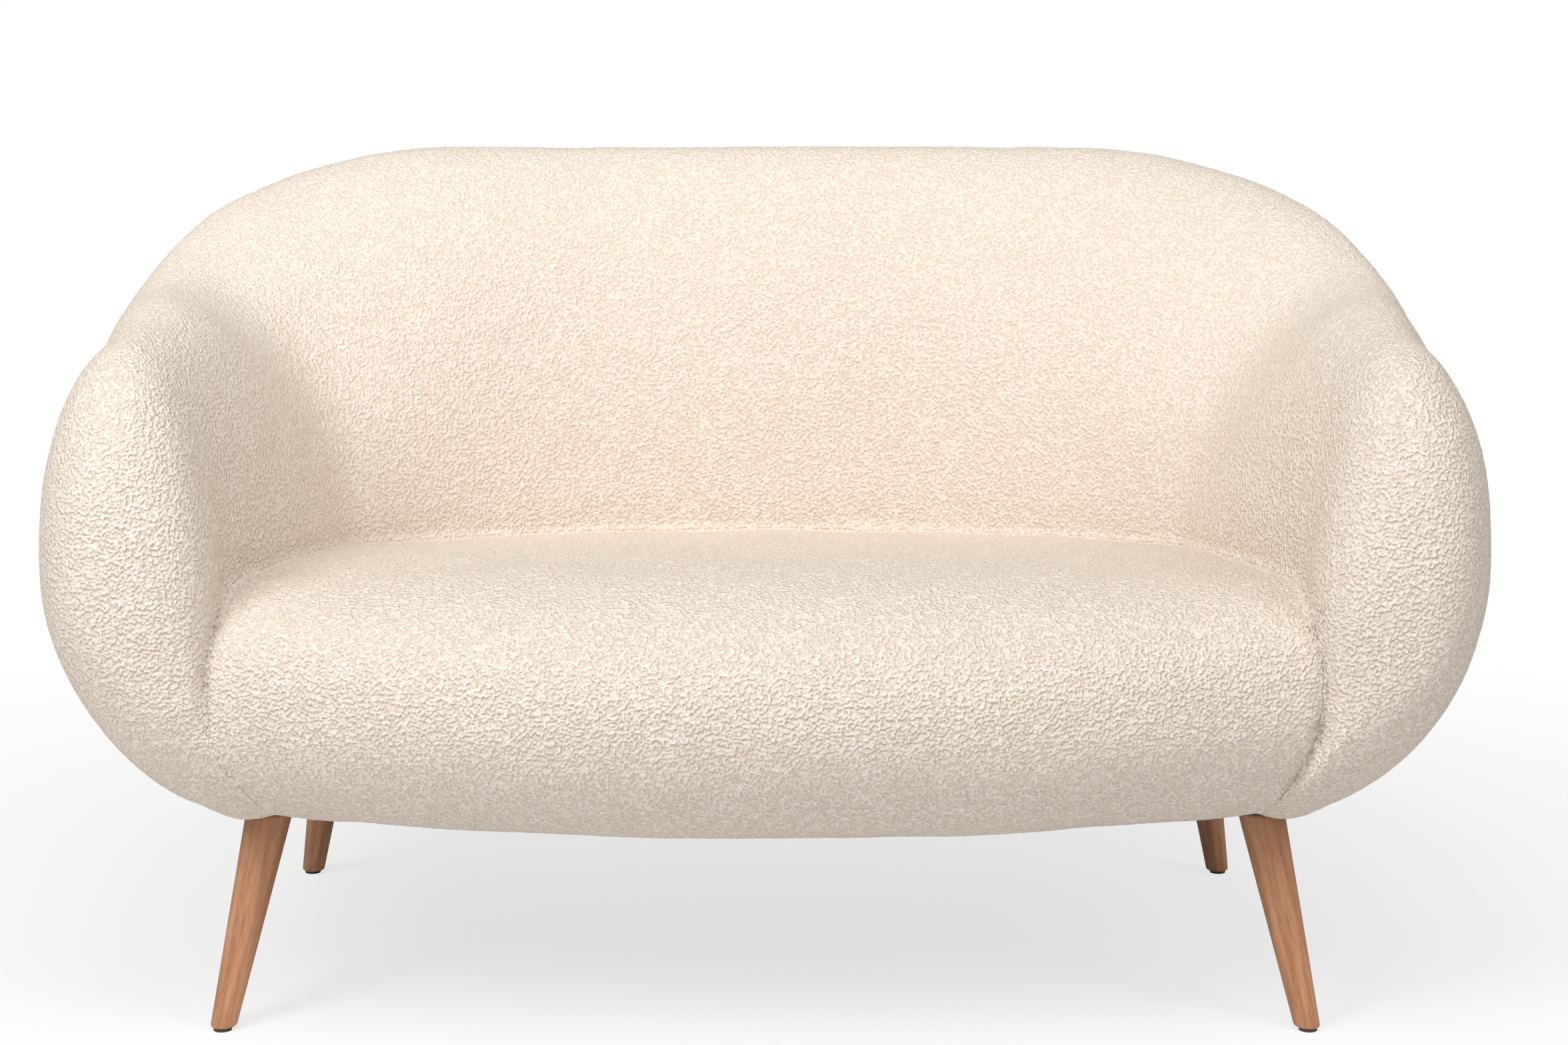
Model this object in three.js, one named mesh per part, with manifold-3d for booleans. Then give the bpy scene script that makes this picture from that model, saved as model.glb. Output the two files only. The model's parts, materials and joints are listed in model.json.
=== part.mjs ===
// A two-seat curved sofa: a tub-shaped upholstered shell on a plywood frame, a tight crowned seat
// and four splayed tapered legs. Millimetres, +Z up, +Y to the back, origin on the floor under
// the middle of the body.
import * as THREE from 'three';
import { mergeVertices } from 'three/addons/utils/BufferGeometryUtils.js';
import Module from 'manifold-3d';

const wasm = await Module();
wasm.setup();

// Clearances and overruns
const gap = 0.3;
const overrun = 40;

// Plan of the shell, measured from the line where it is widest
const halfWidth = 704;
const backReach = 445;
const backSquareness = 2.8;
const armCurve = 1100;
const armSquareness = 3;
const armReach = 322;
const noseLength = 168;
const noseRoundness = 2.2;
const noseInnerRoundness = 4.5;
const noseFlare = 20;

// Heights of the shell
const bodyBase = 203;
const widestHeight = 464;
const armCrest = 665;
const backCrest = 848;
const innerHeight = 430;
const wallShare = 0.4;
const noseHeight = 408;

// Section of the shell, as distances inwards from its widest outline
const armCrestInset = 88;
const backCrestInset = 62;
const armThickness = 174;
const backThickness = 200;
const armTuck = 205;
const backTuck = 95;
const armToe = 212;
const backToe = 205;
const backLean = 32;

// Extra padding inside, where the arms round into the back: setbacks and reach along the outline,
// counted from where the shell is widest
const cornerPad = 62;
const padStartSetback = 850;
const padFullSetback = 350;
const padFadeSetback = 40;
const padEndReach = 240;
const cornerRoundness = 1.8;
// The crest sinks a little before the shell's widest place and swells again past it
const crestDip = 13;
const crestDipSetback = 180;
const crestSwell = 20;
const crestSwellBeyond = 30;
const crestWaveReach = 90;
const crestSwellFade = 170;

// Roundness of the section's four quarters, at the arms and at the back
const roundness = {
  arm: { outerTop: 2.1, innerTop: 2.1, outerBase: 1.85 },
  back: { outerTop: 3.4, innerTop: 2.1, outerBase: 2 },
};

// Where the crest rises and where the arm section turns into the back section, along the outline
// and counted from where the shell is widest: setbacks towards the back, reaches towards the nose
const crestStartSetback = 596;
const crestEndReach = 154;
const blendStartSetback = 406;
const blendEndReach = 114;

// Seat
const seatFront = 360;
const seatBow = 68;
const seatBowSquareness = 2.4;
const seatCrown = 450;
const seatRear = 420;
const seatSideDrop = 10;
const seatCrownSetback = 190;
const seatOverreach = 16;
const seatRollHeight = 332;
const seatRollRoundness = 2.2;
const seatRollSideRoundness = 3;
const bellyDepth = 158;
const bellySideDepth = 190;
const bellyDrop = 8;
const bellyRoundness = 2;

// Cloth and foam
const clothThickness = 3;
const outerFoam = 25;
const innerFoam = 60;
const webbingTop = 309;
const foamSlack = 0.8;
const noseSlack = 2;
const cambricThickness = 1.5;

// Wooden frame
const undersidePad = 7;
const boardThickness = 15;
const boardWidth = 115;
const boardFront = 190;
const armBoardInset = 170;
const backBoardInset = 80;
const armCoreToe = 268;
const backCoreToe = 235;
const ribThickness = 18;
const apronThickness = 18;
const stretcherHeight = 50;
const railThickness = 18;
const railHeight = 55;
const lowRailHeight = 300;
const lowRailInset = 50;
const blockLength = 80;
const blockHeight = 40;

// Webbing
const webbingThickness = 2.2;
const webbingWidth = 70;
const seatWebCount = 5;
const seatWebEnd = 102;
const crossWebCount = 2;
const crossWebEnd = 61;
const backWebCount = 3;
const backWebRise = 40;
const backWebDrop = 15;
const webbingInset = 2;
const cornerFoamReach = 344;

// Legs
const footSideInset = 169;
const footEndInset = 135.5;
const legSplayShare = 0.2;
const legRakeShare = 0.3;
const footRadius = 12.5;
const legTopRadius = 23;
const footRounding = 3;
const glideRadius = 9;
const glideHeight = 3;
const boltRadius = 4;
const boltInLeg = 60;
const boltInBlock = 30;
const boltSideCount = 12;
const legSideCount = 24;

// Rib places along the outline, counted as the crest's are
const backRibShare = 0.39;
const cornerRibSetback = 326;
const armRibReach = 34;

// How finely the shell is divided
const bodyStepCount = 14;
const boardStepCount = 16;
const noseStepCount = 5;
const tipShare = 0.16;
const curveSampleCount = 240;
const baseStepCount = 5;
const outerTopStepCount = 5;
const innerTopStepCount = 6;
const seatStepCount = 12;
const seatCurveStepCount = 6;
const seamStepCount = 2;

const colours = {
  boucle: '#efe3d2',
  foam: '#f3e9c6',
  plywood: '#d9b98a',
  hardwood: '#c99a63',
  leg: '#c58a58',
  webbing: '#8d8579',
  cambric: '#26262a',
  steel: '#9a9ca0',
  glide: '#3a3836',
};
const finishes = {
  boucle: { color: colours.boucle, roughness: 0.95, metalness: 0 },
  foam: { color: colours.foam, roughness: 0.9, metalness: 0 },
  plywood: { color: colours.plywood, roughness: 0.7, metalness: 0 },
  hardwood: { color: colours.hardwood, roughness: 0.6, metalness: 0 },
  leg: { color: colours.leg, roughness: 0.45, metalness: 0 },
  webbing: { color: colours.webbing, roughness: 0.9, metalness: 0 },
  cambric: { color: colours.cambric, roughness: 0.95, metalness: 0 },
  steel: { color: colours.steel, roughness: 0.35, metalness: 1 },
  glide: { color: colours.glide, roughness: 0.6, metalness: 0 },
};

const smoothstep = (from, to, value) => THREE.MathUtils.smoothstep(value, from, to);
const mix = THREE.MathUtils.lerp;
const power = (value, exponent) => Math.sign(value) * Math.abs(value) ** exponent;
const quarter = Math.PI / 2;

// Solids: a closed geometry becomes a manifold solid, and a manifold solid a geometry
function solidOf(geometry) {
  const bare = geometry.clone();
  bare.deleteAttribute('normal');
  bare.deleteAttribute('uv');
  const merged = mergeVertices(bare);
  return new wasm.Manifold(new wasm.Mesh({
    numProp: 3,
    vertProperties: new Float32Array(merged.attributes.position.array),
    triVerts: new Uint32Array(merged.index.array),
  }));
}

function geometryOf(solid) {
  const mesh = solid.getMesh();
  const geometry = new THREE.BufferGeometry();
  geometry.setAttribute('position', new THREE.BufferAttribute(mesh.vertProperties, 3));
  geometry.setIndex(new THREE.BufferAttribute(mesh.triVerts, 1));
  geometry.computeVertexNormals();
  return geometry;
}

function box([x0, x1], [y0, y1], [z0, z1]) {
  const geometry = new THREE.BoxGeometry(x1 - x0, y1 - y0, z1 - z0);
  geometry.translate((x0 + x1) / 2, (y0 + y1) / 2, (z0 + z1) / 2);
  return solidOf(geometry);
}

function prism(outline, [z0, z1]) {
  const geometry = new THREE.ExtrudeGeometry(new THREE.Shape(outline), {
    depth: z1 - z0, bevelEnabled: false,
  });
  geometry.translate(0, 0, z0);
  return solidOf(geometry);
}

const joined = (solids) => solids.reduce((whole, next) => whole.add(next));

// The shell's plan outline: from the middle of the back, round the corner and along the arm
function traceOutline() {
  const points = [];
  for (let i = 0; i <= curveSampleCount; i += 1) {
    const angle = quarter * (1 - i / curveSampleCount);
    points.push(new THREE.Vector2(
      halfWidth * power(Math.cos(angle), 2 / backSquareness),
      backReach * power(Math.sin(angle), 2 / backSquareness),
    ));
  }
  for (let i = 1; i <= curveSampleCount; i += 1) {
    const y = (-armReach * i) / curveSampleCount;
    const share = (1 - (-y / armCurve) ** armSquareness) ** (1 / armSquareness);
    points.push(new THREE.Vector2(halfWidth * share, y));
  }
  const lengths = [0];
  for (let i = 1; i < points.length; i += 1) {
    lengths.push(lengths[i - 1] + points[i].distanceTo(points[i - 1]));
  }
  return { points, lengths, total: lengths[lengths.length - 1] };
}
const outline = traceOutline();
const noseStart = outline.total - noseLength;
const widestPlace = outline.lengths[curveSampleCount];
const crestStart = widestPlace - crestStartSetback;
const crestEnd = widestPlace + crestEndReach;
const crestTurn = widestPlace + crestSwellBeyond;
const blendStart = widestPlace - blendStartSetback;
const blendEnd = widestPlace + blendEndReach;
const padStart = widestPlace - padStartSetback;
const padFull = widestPlace - padFullSetback;
const padFade = widestPlace - padFadeSetback;
const padEnd = widestPlace + padEndReach;
const cornerRibPlace = widestPlace - cornerRibSetback;
const armRibPlace = widestPlace + armRibReach;
const backRibPlace = cornerRibPlace * backRibShare;

function outlinePoint(along) {
  const { points, lengths, total } = outline;
  const s = Math.min(Math.abs(along), total);
  let i = 1;
  while (i < lengths.length - 1 && lengths[i] < s) i += 1;
  const share = (s - lengths[i - 1]) / (lengths[i] - lengths[i - 1]);
  return points[i - 1].clone().lerp(points[i], share);
}

// A place on the outline with its inward direction, mirrored for the left half
function outlineFrame(along) {
  const side = along < 0 ? -1 : 1;
  const reach = outline.total / curveSampleCount;
  const middle = Math.min(Math.abs(along), outline.total - reach);
  const before = outlinePoint(Math.max(middle - reach, 0));
  const ahead = outlinePoint(middle + reach);
  const tangent = ahead.sub(before).normalize();
  if (middle < reach) tangent.set(1, 0);
  const point = outlinePoint(along);
  return {
    origin: new THREE.Vector2(side * point.x, point.y),
    inward: new THREE.Vector2(side * tangent.y, -tangent.x),
  };
}

const noInset = { outer: 0, inner: 0, top: 0, base: 0, nose: 0 };
const evenInset = (depth) => ({
  outer: depth, inner: depth, top: depth, base: depth, nose: depth,
});

// The section's sizes at a place along the outline
const backShare = (along) => 1 - smoothstep(blendStart, blendEnd, Math.abs(along));
const padShare = (along) => smoothstep(padStart, padFull, Math.abs(along))
  * (1 - smoothstep(padFade, padEnd, Math.abs(along)));
const wave = (along, place, reach) => Math.exp(-(((Math.abs(along) - place) / reach) ** 2));
function sectionAt(along) {
  const back = backShare(along);
  const rise = 1 - smoothstep(crestStart, crestEnd, Math.abs(along));
  const swellReach = Math.abs(along) < crestTurn ? crestWaveReach : crestSwellFade;
  const flare = noseFlare * smoothstep(noseStart, outline.total, Math.abs(along));
  const round = (name) => mix(roundness.arm[name], roundness.back[name], back);
  return {
    crest: mix(armCrest, backCrest, rise)
      - crestDip * wave(along, widestPlace - crestDipSetback, crestWaveReach)
      + crestSwell * wave(along, crestTurn, swellReach),
    crestInset: mix(armCrestInset, backCrestInset, back),
    thickness: mix(armThickness, backThickness, back) + flare + cornerPad * padShare(along),
    tuck: mix(armTuck, backTuck, back),
    toe: mix(armToe, backToe, back) + flare,
    lean: backLean * back,
    outerTop: round('outerTop'),
    innerTop: mix(round('innerTop'), cornerRoundness, padShare(along)),
    outerBase: round('outerBase'),
  };
}

// Points of the section, inwards distance and height, counter-clockwise from the inner toe:
// toe, tuck, up the outside to the widest height, over the crest and down the inner side
function sectionPoints(section, inset, toe = section.toe - inset.inner) {
  const points = [];
  const low = bodyBase + inset.base;
  const high = section.crest - inset.top;
  const corner = (centreX, centreZ, sizeX, sizeZ, exponent, steps, from) => {
    for (let i = 1; i <= steps; i += 1) {
      const angle = from + (quarter * i) / steps;
      points.push(new THREE.Vector2(
        centreX - sizeX * power(Math.cos(angle), 2 / exponent),
        centreZ + sizeZ * power(Math.sin(angle), 2 / exponent),
      ));
    }
  };
  points.push(new THREE.Vector2(toe, low));
  points.push(new THREE.Vector2(section.tuck, low));
  corner(section.tuck, widestHeight, section.tuck - inset.outer, widestHeight - low,
    section.outerBase, baseStepCount, -quarter);
  corner(section.crestInset, widestHeight, section.crestInset - inset.outer,
    high - widestHeight, section.outerTop, outerTopStepCount, 0);
  corner(section.crestInset, innerHeight,
    section.thickness - section.crestInset - inset.inner, high - innerHeight,
    section.innerTop, innerTopStepCount, quarter);
  const wallTop = points[points.length - 1];
  const wallPoint = wallTop.clone().lerp(points[0], wallShare);
  if (toe !== section.toe - inset.inner) wallPoint.x = wallTop.x;
  points.push(wallPoint);
  return points.map((point) => {
    const above = Math.max(point.y - widestHeight, 0) / (section.crest - widestHeight);
    return new THREE.Vector2(point.x - section.lean * above, point.y);
  });
}
const seamIndex = 1 + baseStepCount + seamStepCount;
const crestIndex = 1 + baseStepCount + outerTopStepCount;
const ringCount = 3 + baseStepCount + outerTopStepCount + innerTopStepCount;

// Stations along the shell: body stations, and nose stations where the section closes down
function stationsBetween(from, to) {
  const stations = [];
  for (let i = -bodyStepCount; i <= bodyStepCount; i += 1) {
    const s = (noseStart * i) / bodyStepCount;
    if (s > from + gap && s < to - gap) stations.push({ s, angle: 0 });
  }
  const ends = [from, to].map((s) => ({ s, angle: 0 }));
  return [ends[0], ...stations, ends[1]];
}
function noseStations(side) {
  const stations = [];
  const last = Math.acos(tipShare ** (noseRoundness / 2));
  for (let i = 0; i <= noseStepCount; i += 1) {
    stations.push({ s: side * noseStart, angle: (last * i) / noseStepCount });
  }
  return side < 0 ? stations.reverse() : stations;
}

function noseStationAt(side, distance) {
  const share = (distance / noseLength) ** (noseRoundness / 2);
  return { s: side * noseStart, angle: Math.asin(share) };
}

// A ring of the shell: its flat points, and the same points stood square to the outline
function placedRing(flat, along) {
  const { origin, inward } = outlineFrame(along);
  const points = flat.map((point) => new THREE.Vector3(
    origin.x + inward.x * point.x, origin.y + inward.y * point.x, point.y,
  ));
  return { flat, points };
}
function stationAlong(station, inset) {
  const side = station.s < 0 ? -1 : 1;
  const reach = (noseLength - inset.nose) * power(Math.sin(station.angle), 2 / noseRoundness);
  return station.s + side * reach;
}
function ringAt(station, inset, toe) {
  const along = stationAlong(station, inset);
  const section = sectionAt(along);
  const centre = new THREE.Vector2(section.crestInset, noseHeight);
  const flat = sectionPoints(section, inset, toe).map((point) => {
    const arm = point.clone().sub(centre);
    const innerness = Math.max(arm.x, 0) ** 2 / arm.lengthSq();
    const exponent = mix(noseRoundness, noseInnerRoundness, innerness);
    return centre.clone().addScaledVector(arm, power(Math.cos(station.angle), 2 / exponent));
  });
  return placedRing(flat, along);
}

// The two triangles between neighbouring points of neighbouring rings, split at the shorter
// diagonal, so that both halves of the sofa mirror each other
function quadTriangles(points, a, b, count) {
  const falling = points[a].distanceTo(points[b + count]);
  const rising = points[b].distanceTo(points[a + count]);
  if (falling < rising) return [[a, b, b + count], [a, b + count, a + count]];
  return [[a, b, a + count], [b, b + count, a + count]];
}

// A closed skin over a row of rings, with flat ends
function loft(rings) {
  const count = rings[0].points.length;
  const all = rings.flatMap((ring) => ring.points);
  const positions = all.flatMap((p) => [p.x, p.y, p.z]);
  const index = [];
  for (let j = 0; j < rings.length - 1; j += 1) {
    for (let i = 0; i < count; i += 1) {
      const next = j * count + ((i + 1) % count);
      index.push(...quadTriangles(all, j * count + i, next, count).flat());
    }
  }
  const last = (rings.length - 1) * count;
  for (const [a, b, c] of THREE.ShapeUtils.triangulateShape(rings[0].flat, [])) {
    index.push(a, b, c);
  }
  for (const [a, b, c] of THREE.ShapeUtils.triangulateShape(rings[rings.length - 1].flat, [])) {
    index.push(last + a, last + c, last + b);
  }
  const geometry = new THREE.BufferGeometry();
  geometry.setAttribute('position', new THREE.Float32BufferAttribute(positions, 3));
  geometry.setIndex(index);
  return solidOf(geometry);
}

// The whole shell as a solid, nose to nose, its surface moved inwards by the inset
const shellStations = [
  ...noseStations(-1), ...stationsBetween(-noseStart, noseStart).slice(1, -1),
  ...noseStations(1),
];
const shellSolid = (inset) => loft(shellStations.map((station) => ringAt(station, inset)));

// The room inside the shell's foam that holds the frame, open to the underside of the seat
const boardBase = bodyBase + undersidePad;
const boardTop = boardBase + boardThickness;
function coreSolid(extra) {
  const inset = {
    outer: clothThickness + outerFoam + extra,
    inner: clothThickness + innerFoam + extra,
    top: clothThickness + outerFoam + extra,
    base: boardTop - bodyBase + extra,
    nose: 0,
  };
  const reach = boardFront - (armReach - noseLength) - extra;
  const ends = [-1, 1].map((side) => noseStationAt(side, reach));
  const middle = stationsBetween(-noseStart, noseStart);
  const stations = [ends[0], ...middle, ends[1]];
  return loft(stations.map((station) => {
    const back = backShare(station.s);
    return ringAt(station, inset, mix(armCoreToe, backCoreToe, back) - extra);
  }));
}

// A sheet of cloth: triangles over pairs of outer and inner points, closed along every free edge
function clothSolid(outer, inner, triangles) {
  const count = outer.length;
  const positions = [...outer, ...inner].flatMap((p) => [p.x, p.y, p.z]);
  const edges = new Map();
  for (const [a, b, c] of triangles) {
    for (const [from, to] of [[a, b], [b, c], [c, a]]) {
      const twin = `${to},${from}`;
      if (edges.has(twin)) edges.delete(twin);
      else edges.set(`${from},${to}`, [from, to]);
    }
  }
  const index = [];
  for (const [a, b, c] of triangles) {
    index.push(a, b, c, count + a, count + c, count + b);
  }
  for (const [from, to] of edges.values()) {
    index.push(to, from, count + to, from, count + from, count + to);
  }
  const used = new THREE.BufferGeometry();
  used.setAttribute('position', new THREE.Float32BufferAttribute(positions, 3));
  used.setIndex(index);
  return solidOf(used.toNonIndexed());
}

// Inner cover: both noses whole, and between them the sheet from the outer seam over the crest
// and down the inner side
function innerCover() {
  const rings = (inset) => shellStations.map((station) => ringAt(station, inset));
  const flatten = (all) => all.flatMap((ring) => ring.points);
  const outer = rings(noInset);
  const outerPoints = flatten(outer);
  const innerPoints = flatten(rings(evenInset(clothThickness)));
  const triangles = [];
  for (let j = 0; j < shellStations.length - 1; j += 1) {
    const fromEnd = Math.min(j, shellStations.length - 2 - j);
    const first = fromEnd < noseStepCount ? 0 : seamIndex;
    const last = fromEnd < noseStepCount - 1 ? ringCount : ringCount - 1;
    for (let i = first; i < last; i += 1) {
      const next = j * ringCount + ((i + 1) % ringCount);
      triangles.push(...quadTriangles(outerPoints, j * ringCount + i, next, ringCount));
    }
  }
  const end = (shellStations.length - 1) * ringCount;
  for (const [a, b, c] of THREE.ShapeUtils.triangulateShape(outer[0].flat, [])) {
    triangles.push([a, b, c]);
  }
  for (const [a, b, c] of THREE.ShapeUtils.triangulateShape(outer.at(-1).flat, [])) {
    triangles.push([end + a, end + c, end + b]);
  }
  return clothSolid(outerPoints, innerPoints, triangles);
}

// Outer cover: the sheet round the outside, from the underside up to the outer seam
function outerCover() {
  const stations = stationsBetween(-noseStart, noseStart);
  stations[0] = { s: -noseStart + gap, angle: 0 };
  stations[stations.length - 1] = { s: noseStart - gap, angle: 0 };
  const rows = (inset) => stations.flatMap((station) => {
    const { points } = ringAt(station, inset);
    const [below, seam] = [points[seamIndex - 1], points[seamIndex]];
    const edge = seam.clone().lerp(below, gap / seam.distanceTo(below));
    return [...points.slice(1, seamIndex), edge];
  });
  const outer = rows(noInset);
  const triangles = [];
  for (let j = 0; j < stations.length - 1; j += 1) {
    for (let i = 0; i < seamIndex - 1; i += 1) {
      const a = j * seamIndex + i;
      triangles.push(...quadTriangles(outer, a, a + 1, seamIndex));
    }
  }
  return clothSolid(outer, rows(evenInset(clothThickness)), triangles);
}

// The shell and all that lies outside it, which the seat keeps clear of
function outsideSolid(extra) {
  const inset = evenInset(-extra);
  const [low, high] = [-overrun, backCrest + overrun];
  return loft(shellStations.map((station) => {
    const { flat } = ringAt(station, inset);
    const [toe, crest] = [flat[0], flat[crestIndex]];
    const outside = [
      [toe.x, low], [-overrun, low], [-overrun, high], [crest.x, high],
    ].map(([x, z]) => new THREE.Vector2(x, z));
    return placedRing([toe, ...outside, ...flat.slice(crestIndex)],
      stationAlong(station, inset));
  }));
}

// Seat block: crowned top, rounded front roll and belly, swept across with a bowed front
const seatHalf = halfWidth - armThickness;
const seatReach = seatHalf + seatOverreach;
function seatRing(x, inset) {
  const share = Math.abs(x) / seatHalf;
  const front = -seatFront + seatBow * share ** seatBowSquareness;
  const drop = seatSideDrop * share ** 2;
  const rearY = backReach - backThickness / 2;
  const crownY = front + seatCrownSetback;
  const rollRoundness = mix(seatRollRoundness, seatRollSideRoundness, share ** 2);
  const depth = mix(bellyDepth, bellySideDepth, share ** 2);
  const bellyY = front + depth;
  const low = bodyBase - bellyDrop * (1 - share ** 2) + inset;
  const crown = seatCrown - drop - inset;
  const rear = seatRear - drop / 2 - inset;
  const flat = [new THREE.Vector2(rearY, low), new THREE.Vector2(bellyY, low)];
  const curve = (y, sizeY, sizeZ, exponent, from) => {
    for (let i = 1; i <= seatCurveStepCount; i += 1) {
      const angle = from + (quarter * i) / seatCurveStepCount;
      flat.push(new THREE.Vector2(
        y - sizeY * power(Math.cos(angle), 2 / exponent),
        seatRollHeight + sizeZ * power(Math.sin(angle), 2 / exponent),
      ));
    }
  };
  curve(bellyY, depth - inset, seatRollHeight - low, bellyRoundness, -quarter);
  curve(crownY, seatCrownSetback - inset, crown - seatRollHeight, rollRoundness, 0);
  for (let i = 1; i <= seatCurveStepCount; i += 1) {
    const along = i / seatCurveStepCount;
    flat.push(new THREE.Vector2(
      mix(crownY, rearY, along), mix(crown, rear, Math.sin(quarter * along) ** 2),
    ));
  }
  const points = flat.map((point) => new THREE.Vector3(x, point.x, point.y));
  return { flat, points };
}
function seatSolid(inset) {
  const rings = [];
  for (let i = seatStepCount / 2; i >= -seatStepCount / 2; i -= 1) {
    rings.push(seatRing((seatReach * i * 2) / seatStepCount, inset));
  }
  return loft(rings);
}

// Outline of the base boards, which follows the shell's plan and is straight in front
function boardOutline(extra) {
  const end = widestPlace + boardFront;
  const points = [];
  for (let i = -boardStepCount; i <= boardStepCount; i += 1) {
    const s = (end * i) / boardStepCount;
    const { origin, inward } = outlineFrame(s);
    const inset = mix(armBoardInset, backBoardInset, backShare(s)) + extra;
    points.push(origin.addScaledVector(inward, inset));
  }
  points[0].y = -boardFront + extra;
  points.at(-1).y = -boardFront + extra;
  return points;
}

// A plate of the frame, square to the outline at a place along it
function plateAt(along, thickness) {
  const { origin, inward } = outlineFrame(along);
  const depth = halfWidth;
  const geometry = new THREE.BoxGeometry(depth, thickness, backCrest);
  geometry.translate(depth / 2, 0, backCrest / 2);
  geometry.rotateZ(Math.atan2(inward.y, inward.x));
  geometry.translate(origin.x, origin.y, 0);
  return solidOf(geometry);
}

// A strip of wood or webbing along the shell, four-sided in section
function strip(from, to, corners) {
  return loft(stationsBetween(from, to).map(({ s }) => {
    const section = sectionAt(s);
    const { origin, inward } = outlineFrame(s);
    const flat = corners(section).map(([d, z]) => {
      const above = Math.max(z - widestHeight, 0) / (section.crest - widestHeight);
      return new THREE.Vector2(d - section.lean * above, z);
    });
    const points = flat.map((point) => new THREE.Vector3(
      origin.x + inward.x * point.x, origin.y + inward.y * point.x, point.y,
    ));
    return { flat, points };
  }));
}
function crestStrip(from, to, extra) {
  const half = railThickness / 2 + extra;
  return strip(from, to, (section) => {
    const low = section.crest - clothThickness - outerFoam - railHeight - extra;
    const d = section.crestInset;
    return [[d + half, low], [d - half, low], [d - half, section.crest],
      [d + half, section.crest]];
  });
}

// Depth of the foam's inner wall at a height, where the webbing lies on the ribs
function innerDepth(section, z) {
  const reach = section.thickness - section.crestInset - clothThickness - innerFoam;
  const tall = section.crest - clothThickness - outerFoam - innerHeight;
  const share = Math.min(Math.max(z - innerHeight, 0) / tall, 1);
  const across = (1 - share ** section.innerTop) ** (1 / section.innerTop);
  return section.crestInset + reach * across;
}
function backWebStrip(height, extra, cover) {
  return strip(-cornerRibPlace - ribThickness / 2, cornerRibPlace + ribThickness / 2,
    (section) => {
      const low = height - extra;
      const high = height + webbingWidth + extra;
      const [bottom, top] = [low, high].map((z) => innerDepth(section, z) - webbingInset);
      const thick = webbingThickness + extra;
      return [[bottom + cover, low], [bottom - thick, low], [top - thick, high],
        [top + cover, high]];
    });
}

// Legs: each stands on its foot and leans in and towards the middle on the way up
const backEdge = Math.max(...ringAt({ s: 0, angle: 0 }, noInset).points.map((p) => p.y));
const middleY = (backEdge - seatFront) / 2;
const footX = halfWidth - footSideInset;
const footY = (backEdge + seatFront) / 2 - footEndInset;
const corners = [
  { name: 'front_left', side: -1, end: -1 },
  { name: 'front_right', side: 1, end: -1 },
  { name: 'rear_left', side: -1, end: 1 },
  { name: 'rear_right', side: 1, end: 1 },
].map((corner) => {
  const foot = new THREE.Vector3(corner.side * footX, middleY + corner.end * footY, 0);
  const rise = new THREE.Vector3(-corner.side * legSplayShare, -corner.end * legRakeShare, 1);
  return { ...corner, foot, rise };
});
const legTop = boardBase - gap;

// A turned shape along a leg's axis, from a profile of radius and height above the floor
function turned({ foot, rise }, profile, sides) {
  const stretch = rise.length();
  const line = profile.map(([radius, z]) => new THREE.Vector2(radius, z * stretch));
  const geometry = new THREE.LatheGeometry(line, sides);
  const up = new THREE.Vector3(0, 1, 0);
  geometry.applyQuaternion(
    new THREE.Quaternion().setFromUnitVectors(up, rise.clone().normalize()),
  );
  geometry.translate(foot.x, foot.y, foot.z);
  return solidOf(geometry);
}
function legBlank(corner, extra) {
  const foot = footRadius + extra;
  const top = legTopRadius + extra;
  return turned(corner, [
    [0, -overrun], [foot - footRounding, -overrun], [foot - footRounding, glideHeight],
    [foot, glideHeight + footRounding], [top, legTop], [top, legTop + overrun],
    [0, legTop + overrun],
  ], legSideCount);
}
const everywhere = [-halfWidth - overrun, halfWidth + overrun];
const between = (low, high) => box(everywhere, everywhere, [low, high]);
function boltAt(corner, extra) {
  const low = legTop - boltInLeg - extra;
  const high = boardTop + boltInBlock + extra;
  const radius = boltRadius + extra;
  return turned(corner, [[0, low], [radius, low], [radius, high], [0, high]], boltSideCount);
}
const bolts = corners.map((corner) => boltAt(corner, 0));
const boltHoles = joined(corners.map((corner) => boltAt(corner, gap)));
const legClearance = joined(corners.map((corner) => legBlank(corner, gap)))
  .intersect(between(-overrun, legTop + gap));

// Base boards
const rearApron = [backReach - backCoreToe - gap - apronThickness, backReach - backCoreToe - gap];
const frontApron = [-boardFront, -boardFront + apronThickness];
const sideApron = [halfWidth - armCoreToe - gap - apronThickness, halfWidth - armCoreToe - gap];
const boardLayer = prism(boardOutline(0), [boardBase, boardTop]).subtract(boltHoles);
const recess = prism(boardOutline(-gap), [-overrun, boardTop + gap]);
const frontBoard = [-boardFront - overrun, -boardFront + boardWidth];
const rearBoard = [rearApron[0], backReach];
const sideBoard = [frontBoard[1] + gap, rearBoard[0] - gap];
const layer = [boardBase - overrun, boardTop + overrun];
const boards = {
  front: boardLayer.intersect(box(everywhere, frontBoard, layer)),
  rear: boardLayer.intersect(box(everywhere, rearBoard, layer)),
  left: boardLayer.intersect(box([-halfWidth, -sideApron[0]], sideBoard, layer)),
  right: boardLayer.intersect(box([sideApron[0], halfWidth], sideBoard, layer)),
};

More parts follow.
